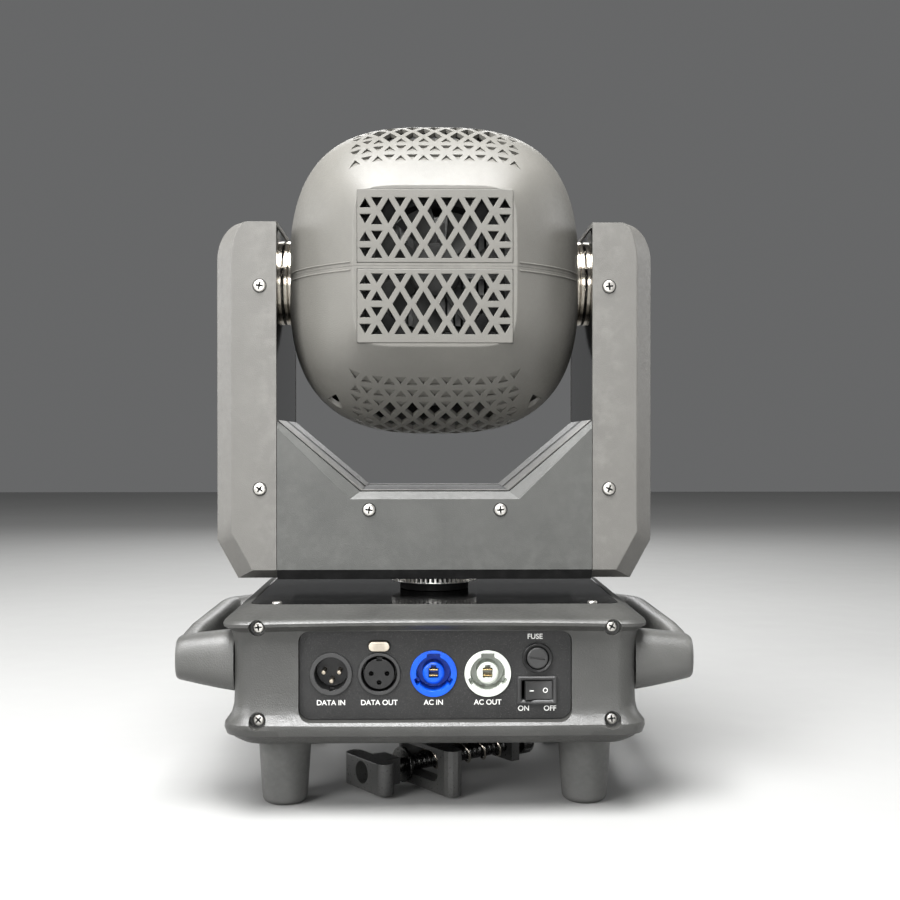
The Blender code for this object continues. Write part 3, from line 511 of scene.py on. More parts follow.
def cross_screw():
    """A pan head screw on local Z = 0 with a cross recess, in millimetres turned to metres. The recess faces
    get the second slot, where black is painted as the shade in the recess.
    """
    height, radius = 1.3, SCREW_R
    profile = [(0, height), (radius * 0.55, height * 0.98), (radius * 0.8, height * 0.9),
               (radius * 0.93, height * 0.72), (radius, height * 0.42), (radius, 0), (0, 0)]
    head = turned("screw_head", profile, steps=40)
    arm, width, floor = SCREW_SLOT
    cut(head, block("slot", (-arm, -width, floor), (arm, width, height + 1)),
        block("slot", (-width, -arm, floor), (width, arm, height + 1)),
        turned("recess", [(0, height + 1), (1.2, height + 1), (0.6, floor), (0, floor)], steps=16))
    mesh = head.data
    # faces inside the cross recess get slot 1, painted black below as the shade in the recess
    for face in mesh.polygons:
        x, y, z = face.center / MM
        near_slot = min(abs(x), abs(y)) <= width + 0.4 and max(abs(x), abs(y)) <= arm + 0.01
        face.material_index = 1 if near_slot and floor - 0.01 < z < height * 0.93 else 0
    discard(head)
    return mesh


SCREW = cross_screw()


def screw(name, body, matrix, node, scale=1, cup=True):
    """A screw on its face, with black painted as shade in its cross recess and a thin black ring painted as
    the shadow gap of its countersink.
    """
    turn = Matrix.Rotation(len(bpy.data.objects) * 0.9, 4, "Z")
    obj = link(name, SCREW.copy(), matrix @ turn)
    obj.data.transform(Matrix.Scale(scale, 4))
    recess_shade_faces = {face.index for face in obj.data.polygons if face.material_index == 1}
    detail(obj, body, "screw", node)
    # the cross recess is painted black as shade
    paint_faces(obj, lambda face: face.index in recess_shade_faces)
    # a thin black ring round the head, painted as the shadow in the countersink gap
    if cup:
        radius = SCREW_R * scale
        profile = [(radius + 0.45, 0.08), (radius + 0.5, 0), (radius + 0.1, 0), (radius + 0.1, 0.05)]
        detail(turned(name + "_cup", profile, matrix, 40, closed=True), body, "black", node)


# ---- head

HEAD_REAR = -79
HEAD_MID = -5
HEAD_FRONT = 97


def ease(y, at_end, at_middle, power):
    end = HEAD_REAR if y < HEAD_MID else HEAD_FRONT
    t = abs(y - HEAD_MID) / abs(end - HEAD_MID)
    return at_end + (at_middle - at_end) * (1 - t ** power)


def head_section(y):
    """Half-width, half-height and squareness of the barrel at a depth."""
    if y < HEAD_MID:
        return ease(y, 45, 87.5, 2.4), ease(y, 44, 92, 2.4), ease(y, 6.5, 2.8, 3)
    return ease(y, 58, 87.5, 2.5), ease(y, 58, 92, 2.5), ease(y, 2, 2.8, 1)


def barrel_point(y, angle, sign):
    half_x, half_z, square = head_section(y)
    c, s = math.cos(angle), math.sin(angle)
    reach = (abs(c) ** square + abs(s) ** square) ** (-1 / square)
    point = Vector((half_x * c * reach, y, sign * (half_z * s * reach)))
    return point.x, point.y, TILT_Z + point.z + 0.07 * sign


def crown_point(x, y, sign, depth=0):
    """A point on the top or bottom of the barrel, sunk by depth along the normal."""
    def surface(px, py):
        half_x, half_z, square = head_section(py)
        rest = max(1 - abs(px / half_x) ** square, 0)
        return Vector((px, py, half_z * rest ** (1 / square)))

    step = 0.2
    along_x = surface(x + step, y) - surface(x - step, y)
    along_y = surface(x, y + step) - surface(x, y - step)
    point = surface(x, y) - along_x.cross(along_y).normalized() * depth
    return Vector((point.x, point.y, TILT_Z + sign * point.z))


def crown_depths():
    """Depth y against distance along the middle of the crown, from the rear flat's edge."""
    table = [(0, HEAD_REAR)]
    y, travelled, step = HEAD_REAR, 0, 0.25
    while y < 60:
        rise = head_section(y + step)[1] - head_section(y)[1]
        travelled += math.hypot(step, rise)
        y += step
        table.append((travelled, y))
    return table


CROWN = crown_depths()


def crown_y(distance):
    for (d0, y0), (d1, y1) in zip(CROWN, CROWN[1:]):
        if d1 >= distance:
            return y0 + (y1 - y0) * (distance - d0) / (d1 - d0)
    return CROWN[-1][1]


def split_cell(x, y):
    """The two triangles that a bar leaves of a diamond, each as base, base, tip."""
    base = DIAMOND[0] * (1 - SPLIT_BAR / DIAMOND[1])
    return [[(x - base, y + side * SPLIT_BAR), (x + base, y + side * SPLIT_BAR),
             (x, y + side * DIAMOND[1])] for side in (-1, 1)]


def full_cell(x, y):
    return [(x - DIAMOND[0], y), (x, y - DIAMOND[1]), (x + DIAMOND[0], y), (x, y + DIAMOND[1])]


def crown_cutters(sign):
    """Open diamonds in the middle of the crown and blind pockets round them."""
    first_row, rows, open_rows = 18.9, 13, range(3, 10)
    bm = bmesh.new()

    def add_prism(corners, top, depths):
        low = [bm.verts.new(crown_point(x, crown_y(along), sign, depth))
               for (x, along), depth in zip(corners, depths)]
        high = [bm.verts.new(crown_point(x, crown_y(along), sign, top)) for x, along in corners]
        bm.faces.new(low)
        bm.faces.new(list(reversed(high)))
        skin(bm, [low, high], closed=True)

    for row in range(rows):
        distance = first_row + row * PITCH_Z
        columns = [i + 0.5 for i in range(-4, 4)] if row % 2 == 0 else range(-3, 4)
        for column in columns:
            x = column * PITCH_X
            if row in open_rows and abs(column) < 2.9:
                add_prism(full_cell(x, distance), -3, (6,) * 4)
                continue
            rear, front = split_cell(x, distance)
            if row:
                add_prism(rear, -1.2, (1.5, 1.5, 0.15))
            add_prism(front, -1.2, (0.15, 0.15, 1.5))
    return from_bmesh("crown_cutters", bm)


def head_shell(name, sign, node):
    """Half of the barrel with its crown grille, screw wells and the opening for the rear panel."""
    around, bm = 96, bmesh.new()
    depths = [HEAD_REAR + 74 * (i / 34) ** 1.35 for i in range(35)]
    depths += [HEAD_MID + 102 * i / 34 for i in range(1, 35)]
    rows = [[bm.verts.new(barrel_point(y, math.pi * i / around, sign)) for i in range(around + 1)]
            for y in depths]
    skin(bm, rows)
    bm.faces.new(rows[0])
    shell = thickened(from_bmesh(name, bm), 2.4, even=True)
    low, high = sorted((TILT_Z + sign * 1.6, TILT_Z + sign * 42.6))
    cutters = [block("window", (-43.2, -85, low), (43.2, -73, high)), crown_cutters(sign)]
    for direction in ("left", "right"):
        cutters.append(cylinder("hub_hole", 25.6, 70, 100, pose(direction, (0, 0, TILT_Z))))
    if sign < 0:
        for side in (-1, 1):
            tip = crown_point(side * 57, -42, sign)
            into = pose(at=(tip.x, tip.y, tip.z - 6)) @ Matrix.Rotation(0.35 * side, 4, "Y")
            cutters.append(plate("screw_well", [rectangle((3.6, 7.5), corner=3.5)], 0, 9, into))
    cut(shell, *cutters)
    stand_in(shell, "head", "head", node, 38)


def rear_panel(name, sign, node):
    """The flat insert with its grille of diamonds."""
    middle = sign * 21
    loops = [rectangle((43, 20.3), (0, sign * 22.1), 0.6, 2)]
    halves = (-2.5, -1.5, -0.5, 0.5, 1.5, 2.5)
    for row in (-1, 0, 1):
        for column in halves if row == 0 else range(-3, 4):
            place = (column * PITCH_X, middle + row * PITCH_Z)
            loops += [full_cell(*place)] if abs(column) < 2.4 else split_cell(*place)
    for edge, triangle in ((-1, 1), (1, 0)):
        z = middle + edge * 2 * PITCH_Z
        loops += [split_cell(column * PITCH_X, z)[triangle] for column in halves]
    detail(plate(name, loops, 77.2, 79.15, pose("rear", (0, 0, TILT_Z)), 0.3), "head", "head", node, 30)


def parting_lips():
    """Two thin raised beads along the parting line on each flank."""
    for side, word in reversed(SIDES):
        for level, tag in ((2.2, "upper"), (-2.2, "lower")):
            depths = [-77.5 + i * (HEAD_FRONT + 77) / 39 for i in range(40)]
            points = [(side * (head_section(y)[0] - 0.25), y, TILT_Z + level) for y in depths]
            for end, part in ENDS:
                run = [point for point in points if point[1] * end > 27]
                bead = tube(f"parting_bead_{word}_{tag}_{part}", run, 0.55)
                detail(bead, "head", "head", "head_shell_upper")


def tilt_hubs():
    """Stepped polished rings between the head and the arms."""
    steps = [(0, 90.25), (25.1, 90.25), (25.4, 89.95), (25.4, 88), (24.9, 87.8), (24.9, 87.4),
             (25.4, 87.2), (25.4, 83.5), (0, 83.5)]
    for _, word in SIDES:
        hub = turned(f"hub_rings_{word}", rounded(steps, 0.25), pose(word, (0, 0, TILT_Z)), 96)
        detail(hub, "head", "chrome", f"tilt_hub_{word}", 25)


def cooling_fan():
    place = pose("rear", (0, 0, TILT_Z))
    profile = rounded([(0, 68.4), (13, 68.4), (15, 66.5), (15, 56), (0, 56)], 1.2)
    stand_in(turned("fan_hub", profile, place), "fan", "fan", "fan_rotor")
    for blade, start in enumerate(around_turn(7), 1):
        bm, rows = bmesh.new(), []
        for out in (i / 7 for i in range(8)):
            radius, row = 14.5 + 20.3 * out, []
            for t in (j / 8 for j in range(9)):
                angle = start + 0.16 * out + 0.62 * (t - 0.5)
                lift = 56.8 + 9 * (1 - t) + 1.5 * math.sin(math.pi * t)
                row.append(bm.verts.new((radius * math.cos(angle), radius * math.sin(angle), lift)))
            rows.append(row)
        skin(bm, rows)
        detail(thickened(from_bmesh(f"fan_blade_{blade}", bm, place), 1), "fan", "fan", "fan_rotor")
    loops = [rectangle((39, 39), corner=6), circle(36.5)]
    loops += [circle(2.2, (sx * 33.5, sy * 33.5), 24) for sx in (-1, 1) for sy in (-1, 1)]
    stand_in(plate("fan_housing", loops, 52, 70, place, 0.6), "head", "black", "fan_frame")
    low, high = (Vector(corner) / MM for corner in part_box("heat_sink"))
    outline, count, thick = [(low.x, high.y)], 14, 1.4
    for i in range(count):
        x = low.x + (high.x - low.x - thick) * i / (count - 1)
        outline += [(x, low.y), (x, high.y - 8), (x + thick, high.y - 8), (x + thick, low.y)]
    outline.append((high.x, high.y))
    stand_in(plate("cooling_fins", [outline], low.z, high.z), "head", "alloy", "heat_sink")


def front_optics():
    place = pose("front", (0, 0, TILT_Z))
    bezel = [(50.2, 103.4), (52, 105), (56, 105), (58.6, 102.8), (58.6, 97.2), (57.4, 96.4), (50.2, 96.4)]
    ring = turned("bezel_ring", rounded_loop(bezel, 0.6), place, 128, closed=True)
    stand_in(ring, "head", "head", "lens_bezel", 25)
    radius = 50
    profile = [(radius * t, 99.6 + 4.6 * (1 - t ** 2)) for t in (i / 16 for i in range(17))]
    profile += [(radius, 97.6), (0, 97.6)]
    stand_in(turned("lens_glass", profile, place, 128), "head", "glass", "front_lens", 40)
    cone = [(49.5, 96), (49.5, 92), (24, 34), (22.5, 34), (47, 92), (47, 96)]
    detail(turned("lens_barrel", cone, place, 96, closed=True), "head", "black", "lens_bezel")
    for i in range(3):
        radius, y = 46 - 6 * i, 90 - 13 * i
        section = [(radius, y), (radius, y - 1), (radius - 4, y - 1), (radius - 4, y)]
        detail(turned(f"baffle_{i + 1}", section, place, 96, closed=True), "head", "black", "lens_bezel")
    profile = [(0, 44), (12, 43), (20, 40.5), (22, 39), (22, 36), (0, 36)]
    detail(turned("inner_lens", profile, place, 96), "head", "glass", "front_lens")


# ---- yoke

def arm_ring(side, y, bevel, wall, open_x):
    """The arm's outline seen along Y, cut off at the bottom and rounded at the top outer corner.

    bevel runs from 0 at the broad middle to 1 at the front and rear faces.
    """
    outer = ARM_OUT - 10 * bevel - wall
    low, high = YOKE_BOTTOM + 5.5 * bevel + wall, YOKE_TOP - 0.8 * bevel - wall
    reach_x, reach_z = 15.5 - 6.5 * bevel, 22 + bevel
    cut_start, cut_end = Vector((outer - 12, low)), Vector((outer, low + 22))
    points = [(open_x, low)]
    points += [tuple(cut_start.lerp(cut_end, i / 6)) for i in range(7)]
    points.append((outer, low + 30))
    for i in range(17):
        angle = math.pi / 2 * i / 16
        points.append((outer - reach_x + reach_x * math.cos(angle),
                       high - reach_z + reach_z * math.sin(angle)))
    points.append((open_x, high))
    return [(side * x, y, z) for x, z in points]


def arm_cover(side, word):
    half = [(YOKE_Y, 1.03), (YOKE_Y - 0.3, 0.96), (43.7, 0.035), (42.7, 0)]
    profile = [(-y, bevel) for y, bevel in half] + half[::-1]
    cover = loft(f"arm_casing_{word}", [arm_ring(side, *ring, 0, ARM_IN) for ring in profile])
    profile = ((-51.2, 1), (-42.5, 0), (42.5, 0), (51.2, 1))
    cut(cover, loft("arm_hollow", [arm_ring(side, *ring, 2.4, ARM_IN - 8) for ring in profile]))
    node = f"arm_cover_{word}"
    stand_in(cover, "yoke", "arm", node, 22)
    for z, tag in ((174, "low"), (290, "high")):
        for end, direction in ENDS:
            place = pose(direction, (side * 100, end * YOKE_Y, z))
            screw(f"arm_screw_{word}_{tag}_{direction}", "yoke", place, node)


def crossbar_covers():
    """Face panels whose notch edge is broadly bevelled, with a lip behind a dark groove."""
    reach = ARM_IN - 0.35
    profile = ((51, 172.4, 212.9, 122.4, 42.9), (51.6, 172.4, 212.9, 122.4, 42.9),
               (53.75, 168.4, 209.3, 127.3, 48.3), (YOKE_Y, 168.1, 209, 127.7, 48.6))
    for end, direction in ENDS:
        node = f"yoke_cover_{direction}"
        rings = []
        for depth, floor, top, bottom, half in profile:
            notch = [(-reach, bottom), (reach, bottom), (reach, top), (half, floor), (-half, floor),
                     (-reach, top)]
            rings.append([(x, end * depth, z) for x, z in notch])
        cover = loft(f"crossbar_casing_{direction}", rings)
        stand_in(cover, "yoke", "cross", node, 10)
        # downward faces at the bottom of the cover are painted black as the shade under the yoke
        paint_faces(cover, lambda face: face.normal.z < -0.2 and face.center.z < 128 * MM)
        for side, tag in SIDES:
            place = pose(direction, (side * 37.6, end * YOKE_Y, 162))
            screw(f"crossbar_screw_{tag}_{direction}", "yoke", place, node)
        detail(notch_lip(f"crossbar_lip_{direction}", reach, end), "yoke", "arm", "yoke_crossbar", 25)


def notch_lip(name, reach, end):
    """The notch's lining: a strip behind each face, broad on the slopes and narrow on the floor."""
    near, slope_far, floor_far, thick = 49.6, 7, 44, 1.2
    points = [Vector((x, 0, z)) for x, z in ((-reach, 213.6), (-42.3, 173.4), (42.3, 173.4), (reach, 213.6))]
    strips = []
    for far, start, stop in zip((slope_far, floor_far, slope_far), points, points[1:]):
        along = (stop - start).normalized()
        up = Vector((-along.z, 0, along.x))
        section = [Vector((0, end * depth, 0)) + up * lift
                   for depth, lift in ((near, -thick), (near, 0), (far, 0), (far, -thick))]
        strips.append(loft(name, [[start + p for p in section], [stop + p for p in section]]))
    lip, *others = strips
    for strip in others:
        cut(lip, strip, operation="UNION")
    return lip


def build_yoke():
    for side, word in SIDES:
        arm_cover(side, word)
    crossbar_covers()
    node, outline, teeth = "pan_ring_gear", [], 56
    for start in around_turn(teeth):
        for step, radius in ((0, 26.1), (0.34, 26.1), (0.48, 24.4), (0.86, 24.4)):
            angle = start + 2 * math.pi * step / teeth
            outline.append((radius * math.cos(angle), radius * math.sin(angle)))
    gear = plate("pan_gear_ring", [outline, circle(14.5)], 116.6, 121.6, bevel=0.12)
    stand_in(gear, "base", "gear", node, 30)
    # tooth roots and bore are painted black as the shade between the teeth
    paint_faces(gear, lambda face: face.center.xy.length < 25.2 * MM and abs(face.normal.z) < 0.5)
    shape = [(26.1, 116.8), (26.1, 116.3), (25.8, 116), (15, 116), (15, 116.8)]
    detail(turned("pan_gear_rim", shape, None, 96, closed=True), "base", "gear", node, 25)
    neck = [(21, 116), (21, 111.4), (15, 111.4), (15, 116)]
    detail(turned("pan_gear_neck", neck, None, 96, closed=True), "base", "black", node, 25)


# ---- base

def housing_level(z, half_x, half_y, corner, bow=0):
    """A level outline with extra points along its long sides, raised in the middle by bow."""
    corners = rectangle((half_x, half_y), corner=corner, arc=10)
    points = []
    for start, stop in zip(corners, corners[1:] + corners[:1]):
        start, stop = Vector(start), Vector(stop)
        pieces = 12 if (stop - start).length > 60 else 1
        points += [start.lerp(stop, k / pieces) for k in range(pieces)]
    return [(x, y, z + bow * (1 - (x / half_x) ** 2)) for x, y in points]


def base_housing():
    # each level: height, half-width, half-depth, corner radius, bow of the long sides
    outer = [(39, 102.5, 97.5, 10), (39.6, 104.2, 99, 10.5), (42.5, 108.6, 103, 12),
             (44.4, 110.6, 104.8, 12.5, -0.2), (45, 112.4, 106.3, 13, -0.4), (48.5, 113.5, 107.3, 13, -0.8),
             (51, 113.2, 107.1, 13, -0.8), (52.4, 112, 105.6, 12.5, -0.6), (55.5, 109.9, 102.9, 11.6),
             (60, 108.9, 101.4, 11.1), (68, 108.6, 101, 11), (84, 108.6, 101, 11), (92, 108.7, 101.1, 11),
             (96, 109, 101.8, 11, 0.5), (99.5, 110.2, 103.2, 11.6, 1.2), (101.4, 112.6, 105.9, 12.6, 1.4),
             (102.4, 113.8, 107.2, 13, 1.4), (104, 114, 107.4, 13, 1.4), (105.4, 113.4, 106.4, 13, 1.2),
             (106.4, 112, 104.2, 13, 1), (110.2, 105, 79, 9), (111, 103.8, 77.4, 8)]
    inner = [(111, 102.8, 76.3, 7), (107.8, 102.8, 76.3, 7), (103.8, 104.5, 95.5, 8),
             (44.5, 104.5, 95.5, 8), (42.5, 100.5, 94, 7), (39, 100.5, 94, 7)]
    rings = [housing_level(*level) for level in outer + inner]
    housing = loft("housing_shell", rings, around=True)
    window = rectangle((73.2, 24.2), (0, PANEL_MID), 6.5)
    cutters = [plate("window", [window], -130, 130, pose("rear"))]
    corners = [(side, word, end, direction) for side, word in SIDES for end, direction in ENDS]
    levels, screw_x = ((52.5, "low"), (102, "high")), 94.6
    for side, _, end, direction in corners:
        for z, _ in levels:
            place = pose(direction, (side * screw_x, end * 99.4, z))
            cutters.append(cylinder("well", 4.5, 0, 30, place, 40))
    cut(housing, *cutters)
    bevelled(housing, 0.45, 55)
    stand_in(housing, "base", "base", "base_housing", 32)
    for side, word, end, direction in corners:
        for z, tag in levels:
            place = pose(direction, (side * screw_x, end * 99.5, z))
            name = f"housing_screw_{word}_{tag}_{direction}"
            screw(name, "base", place, "base_housing", 0.9, cup=False)
        place = pose(at=(side * 88, end * 71.5, 111))
        screw(f"top_plate_screw_{word}_{direction}", "base", place, "base_top_plate", 0.8)


def feet():
    profile = [(0, 38.7), (14.8, 38.7), (14.7, 36), (12.7, 5)]
    for angle in (math.pi / 16 * i for i in range(1, 9)):
        profile.append((8.7 + 3.9 * math.cos(angle), 3.9 - 3.9 * math.sin(angle)))
    profile.append((0, 0))
    for side, column in SIDES:
        for end, row in ENDS:
            node = f"foot_{row}_{column}"
            foot = turned(node + "_shape", profile, pose(at=(side * 84, end * 68, 0)))
            stand_in(foot, "base", "foot", node, 40)


def rounded_section(middle, across, half_across, half_z, power=3.2):
    """A rounded section standing on the plane of a level direction and Z."""
    points = []
    for angle in around_turn(40):
        c, s = math.cos(angle), math.sin(angle)
        scale = (abs(c) ** power + abs(s) ** power) ** (-1 / power)
        points.append(middle + across * (half_across * c * scale) + Vector((0, 0, half_z * s * scale)))
    return points


def handle(side, word):
    """A bar between two sleeves that stand out from the housing and taper outwards."""
    along_x, along_y = Vector((1, 0, 0)), Vector((0, 1, 0))
    leg_y = 80
    bar = [(-leg_y, 9, 86), (-70, 9.5, 86.7), (-50, 10, 87.4)]
    bar += [(-y, half_z, z) for y, half_z, z in reversed(bar)]
    rings = [rounded_section(Vector((side * 135.1, y, z)), along_x, 5.85, half_z) for y, half_z, z in bar]
    grip = loft(f"handle_grip_{word}", rings)
    sleeve = [(108.9, 14.1, 16.6, 81.3), (109.3, 14.2, 16.7, 81.3), (118, 13.9, 15.6, 81.7),
              (128, 13.3, 14, 82.2), (136, 12.8, 12.5, 82.6), (138.6, 12.5, 12, 82.7),
              (139.9, 12, 11.6, 82.7), (140.8, 11.1, 10.8, 82.7), (141.1, 9.8, 9.6, 82.7)]
    for end, _ in ENDS:
        rings = [rounded_section(Vector((side * x, end * leg_y, z)), along_y, half_y, half_z, 2.7)
                 for x, half_y, half_z, z in sleeve]
        cut(grip, loft("sleeve", rings), operation="UNION")
    stand_in(grip, "base", "handle", f"handle_{word}", 38)


# ---- connector panel

PANEL_OUTLINE = rectangle((73, 24), (0, PANEL_MID), 6.3)


def facing_rear(x, z, out=0):
    return pose("rear", (x, -PANEL_FACE - out, z))


def connector_panel():
    holes = [circle((SIGNAL_R if name.startswith("signal") else POWER_R) + 0.3, (x, SOCKET_Z))
             for name, x in SOCKET_X.items()]
    holes.append(rectangle((6, 2.95), (SOCKET_X["signal_out"], TAB_Z), 2.5, 6))
    holes += [circle(7.2, FUSE), rectangle((9.6, 6.6), SWITCH)]
    panel = plate("socket_panel", [PANEL_OUTLINE] + holes, 96, PANEL_FACE, pose("rear"), 0.2)
    stand_in(panel, "base", "panel", "connector_panel", 30)
    words = ("DATA IN", "DATA OUT", "AC IN", "AC OUT")
    labels = [(text, x, 61) for text, x in zip(words, SOCKET_X.values())]
    labels += [("FUSE", FUSE[0] - 1.3, 96.3), ("ON", 47.4, 57.6), ("OFF", 61.6, 57.6)]
    for text, x, z in labels:
        name = "label_" + text.lower().replace(" ", "_")
        detail(lettering(name, text, 3.9, facing_rear(x, z, 0.02)), "base", "white", "connector_panel")


def socket_place(name):
    return facing_rear(SOCKET_X[name], SOCKET_Z)


def signal_socket(word, part, profile, corner, rim_inner, rim_height, *cutters):
    """The round body of a signal socket with its flange's rim."""
    node = f"signal_{word}_socket"
    place = socket_place(f"signal_{word}")
    out = SIGNAL_R + 0.8
    profile += [(out, 0.9), (out, 0.1), (SIGNAL_R, 0.1), (SIGNAL_R, -15), (0, -15)]
    body = turned(f"signal_{word}_{part}", rounded(profile, corner), place, 96)
    cut(body, *cutters)
    stand_in(body, "base", "socket", node, 30)
    rim = [(rim_inner, rim_height), (out - 0.1, rim_height), (out - 0.1, 0.05), (rim_inner, 0.05)]
    ring = turned(f"signal_{word}_rim", rounded_loop(rim, 0.35), place, 96, closed=True)
    detail(ring, "base", "rim", node, 25)


def signal_in():
    place = socket_place("signal_in")
    key = block("key", (-1.1, -9.8, -8), (1.1, -8, 2), place, 0.2)
    signal_socket("in", "cup", [(0, -12), (8.7, -12), (8.7, 0.9)], 0.4, 9.1, 1.2, key)
    for number, (x, y) in enumerate(CONTACTS, 1):
        tip = rounded([(0, -2.4), (1.2, -2.4), (1.2, -13), (0, -13)], 0.9, 4)
        pin = turned(f"signal_pin_{number}", tip, place @ pose(at=(x, y, 0)), 24)
        detail(pin, "base", "tab", "signal_in_socket")


def signal_out():
    place = socket_place("signal_out")
    core = [(0, 0.5), (8.2, 0.5), (8.2, -11), (9.5, -11), (9.5, 0.9)]
    holes = [cylinder("hole", 1.35, -9, 2, place @ pose(at=(x, y, 0)), 24) for x, y in CONTACTS]
    key = block("key", (-1.5, 6.9, -5), (1.5, 9.6, 2), place)
    signal_socket("out", "core", core, 0.35, 9.9, 1.1, *holes, key)
    # contact sleeves made black, painted as the shade deep in the contact holes
    for number, (x, y) in enumerate(CONTACTS, 1):
        sleeve = turned(f"signal_sleeve_{number}", [(1.3, -4), (1.3, -8), (0.8, -8), (0.8, -4)],
                        place @ pose(at=(x, y, 0)), 24, closed=True)
        detail(sleeve, "base", "black", "signal_out_socket")
    tab_place = facing_rear(SOCKET_X["signal_out"], TAB_Z)
    tab = plate("latch_tab", [rectangle((5.6, 2.6), corner=2.5)], -4.5, 2.6, tab_place, 0.4)
    stand_in(tab, "release", "tab", "release_tab", 30)
    for i in range(3):
        low = -1.3 + 1.1 * i
        rib = block(f"latch_rib_{i + 1}", (-3, low, 2.4), (3, low + 0.4, 2.6), tab_place, 0.08)
        detail(rib, "release", "tab", "release_tab")


def power_socket(word, look):
    """A locking power socket: outer collar with three ways, inner barrel with its contacts."""
    node = f"power_{word}_socket"
    place = socket_place(f"power_{word}")
    collar = [(0, -12.6), (9.3, -12.6), (9.3, 1.2), (12.5, 1.2), (12.5, 0.1), (11.7, 0.1),
              (11.7, -15.5), (0, -15.5)]
    body = turned(f"power_{word}_collar", rounded(collar, 0.4), place, 96)
    cut(body, *[block("way", (8, -wide, -10), (10.9, wide, 4), place @ spin(angle), 0.4)
                for angle, wide in ((90, 3.6), (205, 1.9), (335, 1.9))])
    stand_in(body, "base", look, node, 30)
    profile = rounded([(0, -0.4), (4.7, -0.4), (5.9, -1.2), (5.9, -12.8), (0, -12.8)], 0.4)
    core = turned(f"power_{word}_core", profile, place)
    cut(core, block("mouth", (-2.7, -2.6, -10), (2.7, 3, 2), place, 0.3),
        block("notch", (-1.5, 2, -10), (1.5, 4.4, 2), place, 0.3))
    detail(core, "base", look, node, 30)
    for number, y in enumerate((-1.5, 1.6), 1):
        blade = block(f"power_{word}_blade_{number}", (-2.3, y - 0.35, -9), (2.3, y + 0.35, -2.2),
                      place, 0.15)
        detail(blade, "base", "brass", node)


def fuse():
    place = facing_rear(*FUSE)
    ring = rounded_loop([(6.3, 1.6), (7.6, 2.2), (8.1, 1.7), (8.1, 0.1), (6.9, 0.1), (6.9, -14),
                         (6.3, -14)], 0.4)
    stand_in(turned("fuse_ring", ring, place, closed=True), "base", "socket", "fuse_holder", 30)
    cap = turned("fuse_knob", rounded([(0, 2.4), (5.2, 2.4), (5.8, 1.8), (5.8, -12), (0, -12)], 0.4), place)
    cut(cap, block("slot", (-3.9, -0.55, 1.5), (3.9, 0.55, 4), place @ Matrix.Rotation(-0.12, 4, "Z")))
    bevelled(cap, 0.12, 50)
    stand_in(cap, "fuse", "rim", "fuse_cap", 30)


def rocker_switch():
    place = facing_rear(*SWITCH)
    profile = ((8.25, 1), (8.9, 1.7), (9.8, 1.9), (10.5, 1.5), (10.6, 0.1), (9.3, 0.1), (9.3, -12),
               (8.25, -12))
    rings = [[(x, y, height) for x, y in rectangle((half, half - 3), corner=0.8, arc=4)]
             for half, height in profile]
    stand_in(loft("switch_frame", rings, place, around=True), "base", "rim", "switch_bezel", 28)
    tilted = pose(at=(SWITCH[0], -PANEL_FACE + 2, SWITCH[1])) @ spin(10)
    half = 7.2
    face = [(x, -3.1 - 1.5 * (x / half) ** 2) for x in (half * (i / 6 - 1) for i in range(13))]
    face += [(6.8, 0.5), (3.5, 5), (-3.5, 5), (-6.8, 0.5)]
    stand_in(plate("switch_key", [face], -4.9, 4.9, tilted, 0.25), "switch", "rim", "switch_rocker", 30)
    mark = tilted @ pose("rear")
    dash = block("mark_on", (-4.9, -0.28, 3.9), (-2.7, 0.28, 4.06), mark)
    detail(dash, "switch", "white", "switch_rocker")
    ring = turned("mark_off", [(1.35, 4.06), (1.35, 3.8), (0.95, 3.8), (0.95, 4.06)],
                  mark @ pose(at=(3.8, 0, 0)), 40, closed=True)
    detail(ring, "switch", "white", "switch_rocker")


# ---- display panel

def display_panel():
    low, high = (Vector(corner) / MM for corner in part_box("display_window"))
    middle = ((low.x + high.x) / 2, PANEL_MID)
    half = ((high.x - low.x) / 2, (high.z - low.z) / 2)
    holes = [rectangle((half[0] + 0.2, half[1] + 0.2), middle, 1.2, 4)]
    keys = [sum(corner[0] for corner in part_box(f"menu_button_{number}")) / 2 / MM for number in range(1, 5)]
    holes += [circle(4.5, (x, PANEL_MID), 40) for x in keys]
    panel = plate("control_panel", [PANEL_OUTLINE] + holes, -PANEL_FACE, -96, pose("rear"), 0.2)
    stand_in(panel, "base", "panel", "display_panel", 30)
    window = plate("display_glass_plate", [rectangle(half, middle, 1.1, 4)], -PANEL_FACE, -96.2,
                   pose("rear"), 0.3)
    stand_in(window, "base", "display", "display_window", 30)
    shape = rounded([(0, 1.6), (3.6, 1.6), (4.2, 1), (4.2, -2.9), (5.4, -2.9), (5.4, -4.2), (0, -4.2)], 0.3)
    for number, x in enumerate(keys, 1):
        body, node = f"button_{number}", f"menu_button_{number}"
        place = pose("front", (x, PANEL_FACE, PANEL_MID))
        stand_in(turned(f"key_{number}", shape, place, 48), body, "key", node, 30)
        arrow = plate(f"key_mark_{number}", [[(-1.2, -0.8), (1.2, -0.8), (0, 1.4)]], 1.55, 1.68,
                      place @ spin(90 * number))
        detail(arrow, body, "white", node)


# ---- clamp

def helix(radius, start, length, turns, per_turn):
    """Points of a coil that climbs along local Z."""
    points = []
    for i in range(int(turns * per_turn) + 1):
        angle = 2 * math.pi * i / per_turn
        points.append((radius * math.cos(angle), radius * math.sin(angle),
                       start + length * i / (turns * per_turn)))
    return points


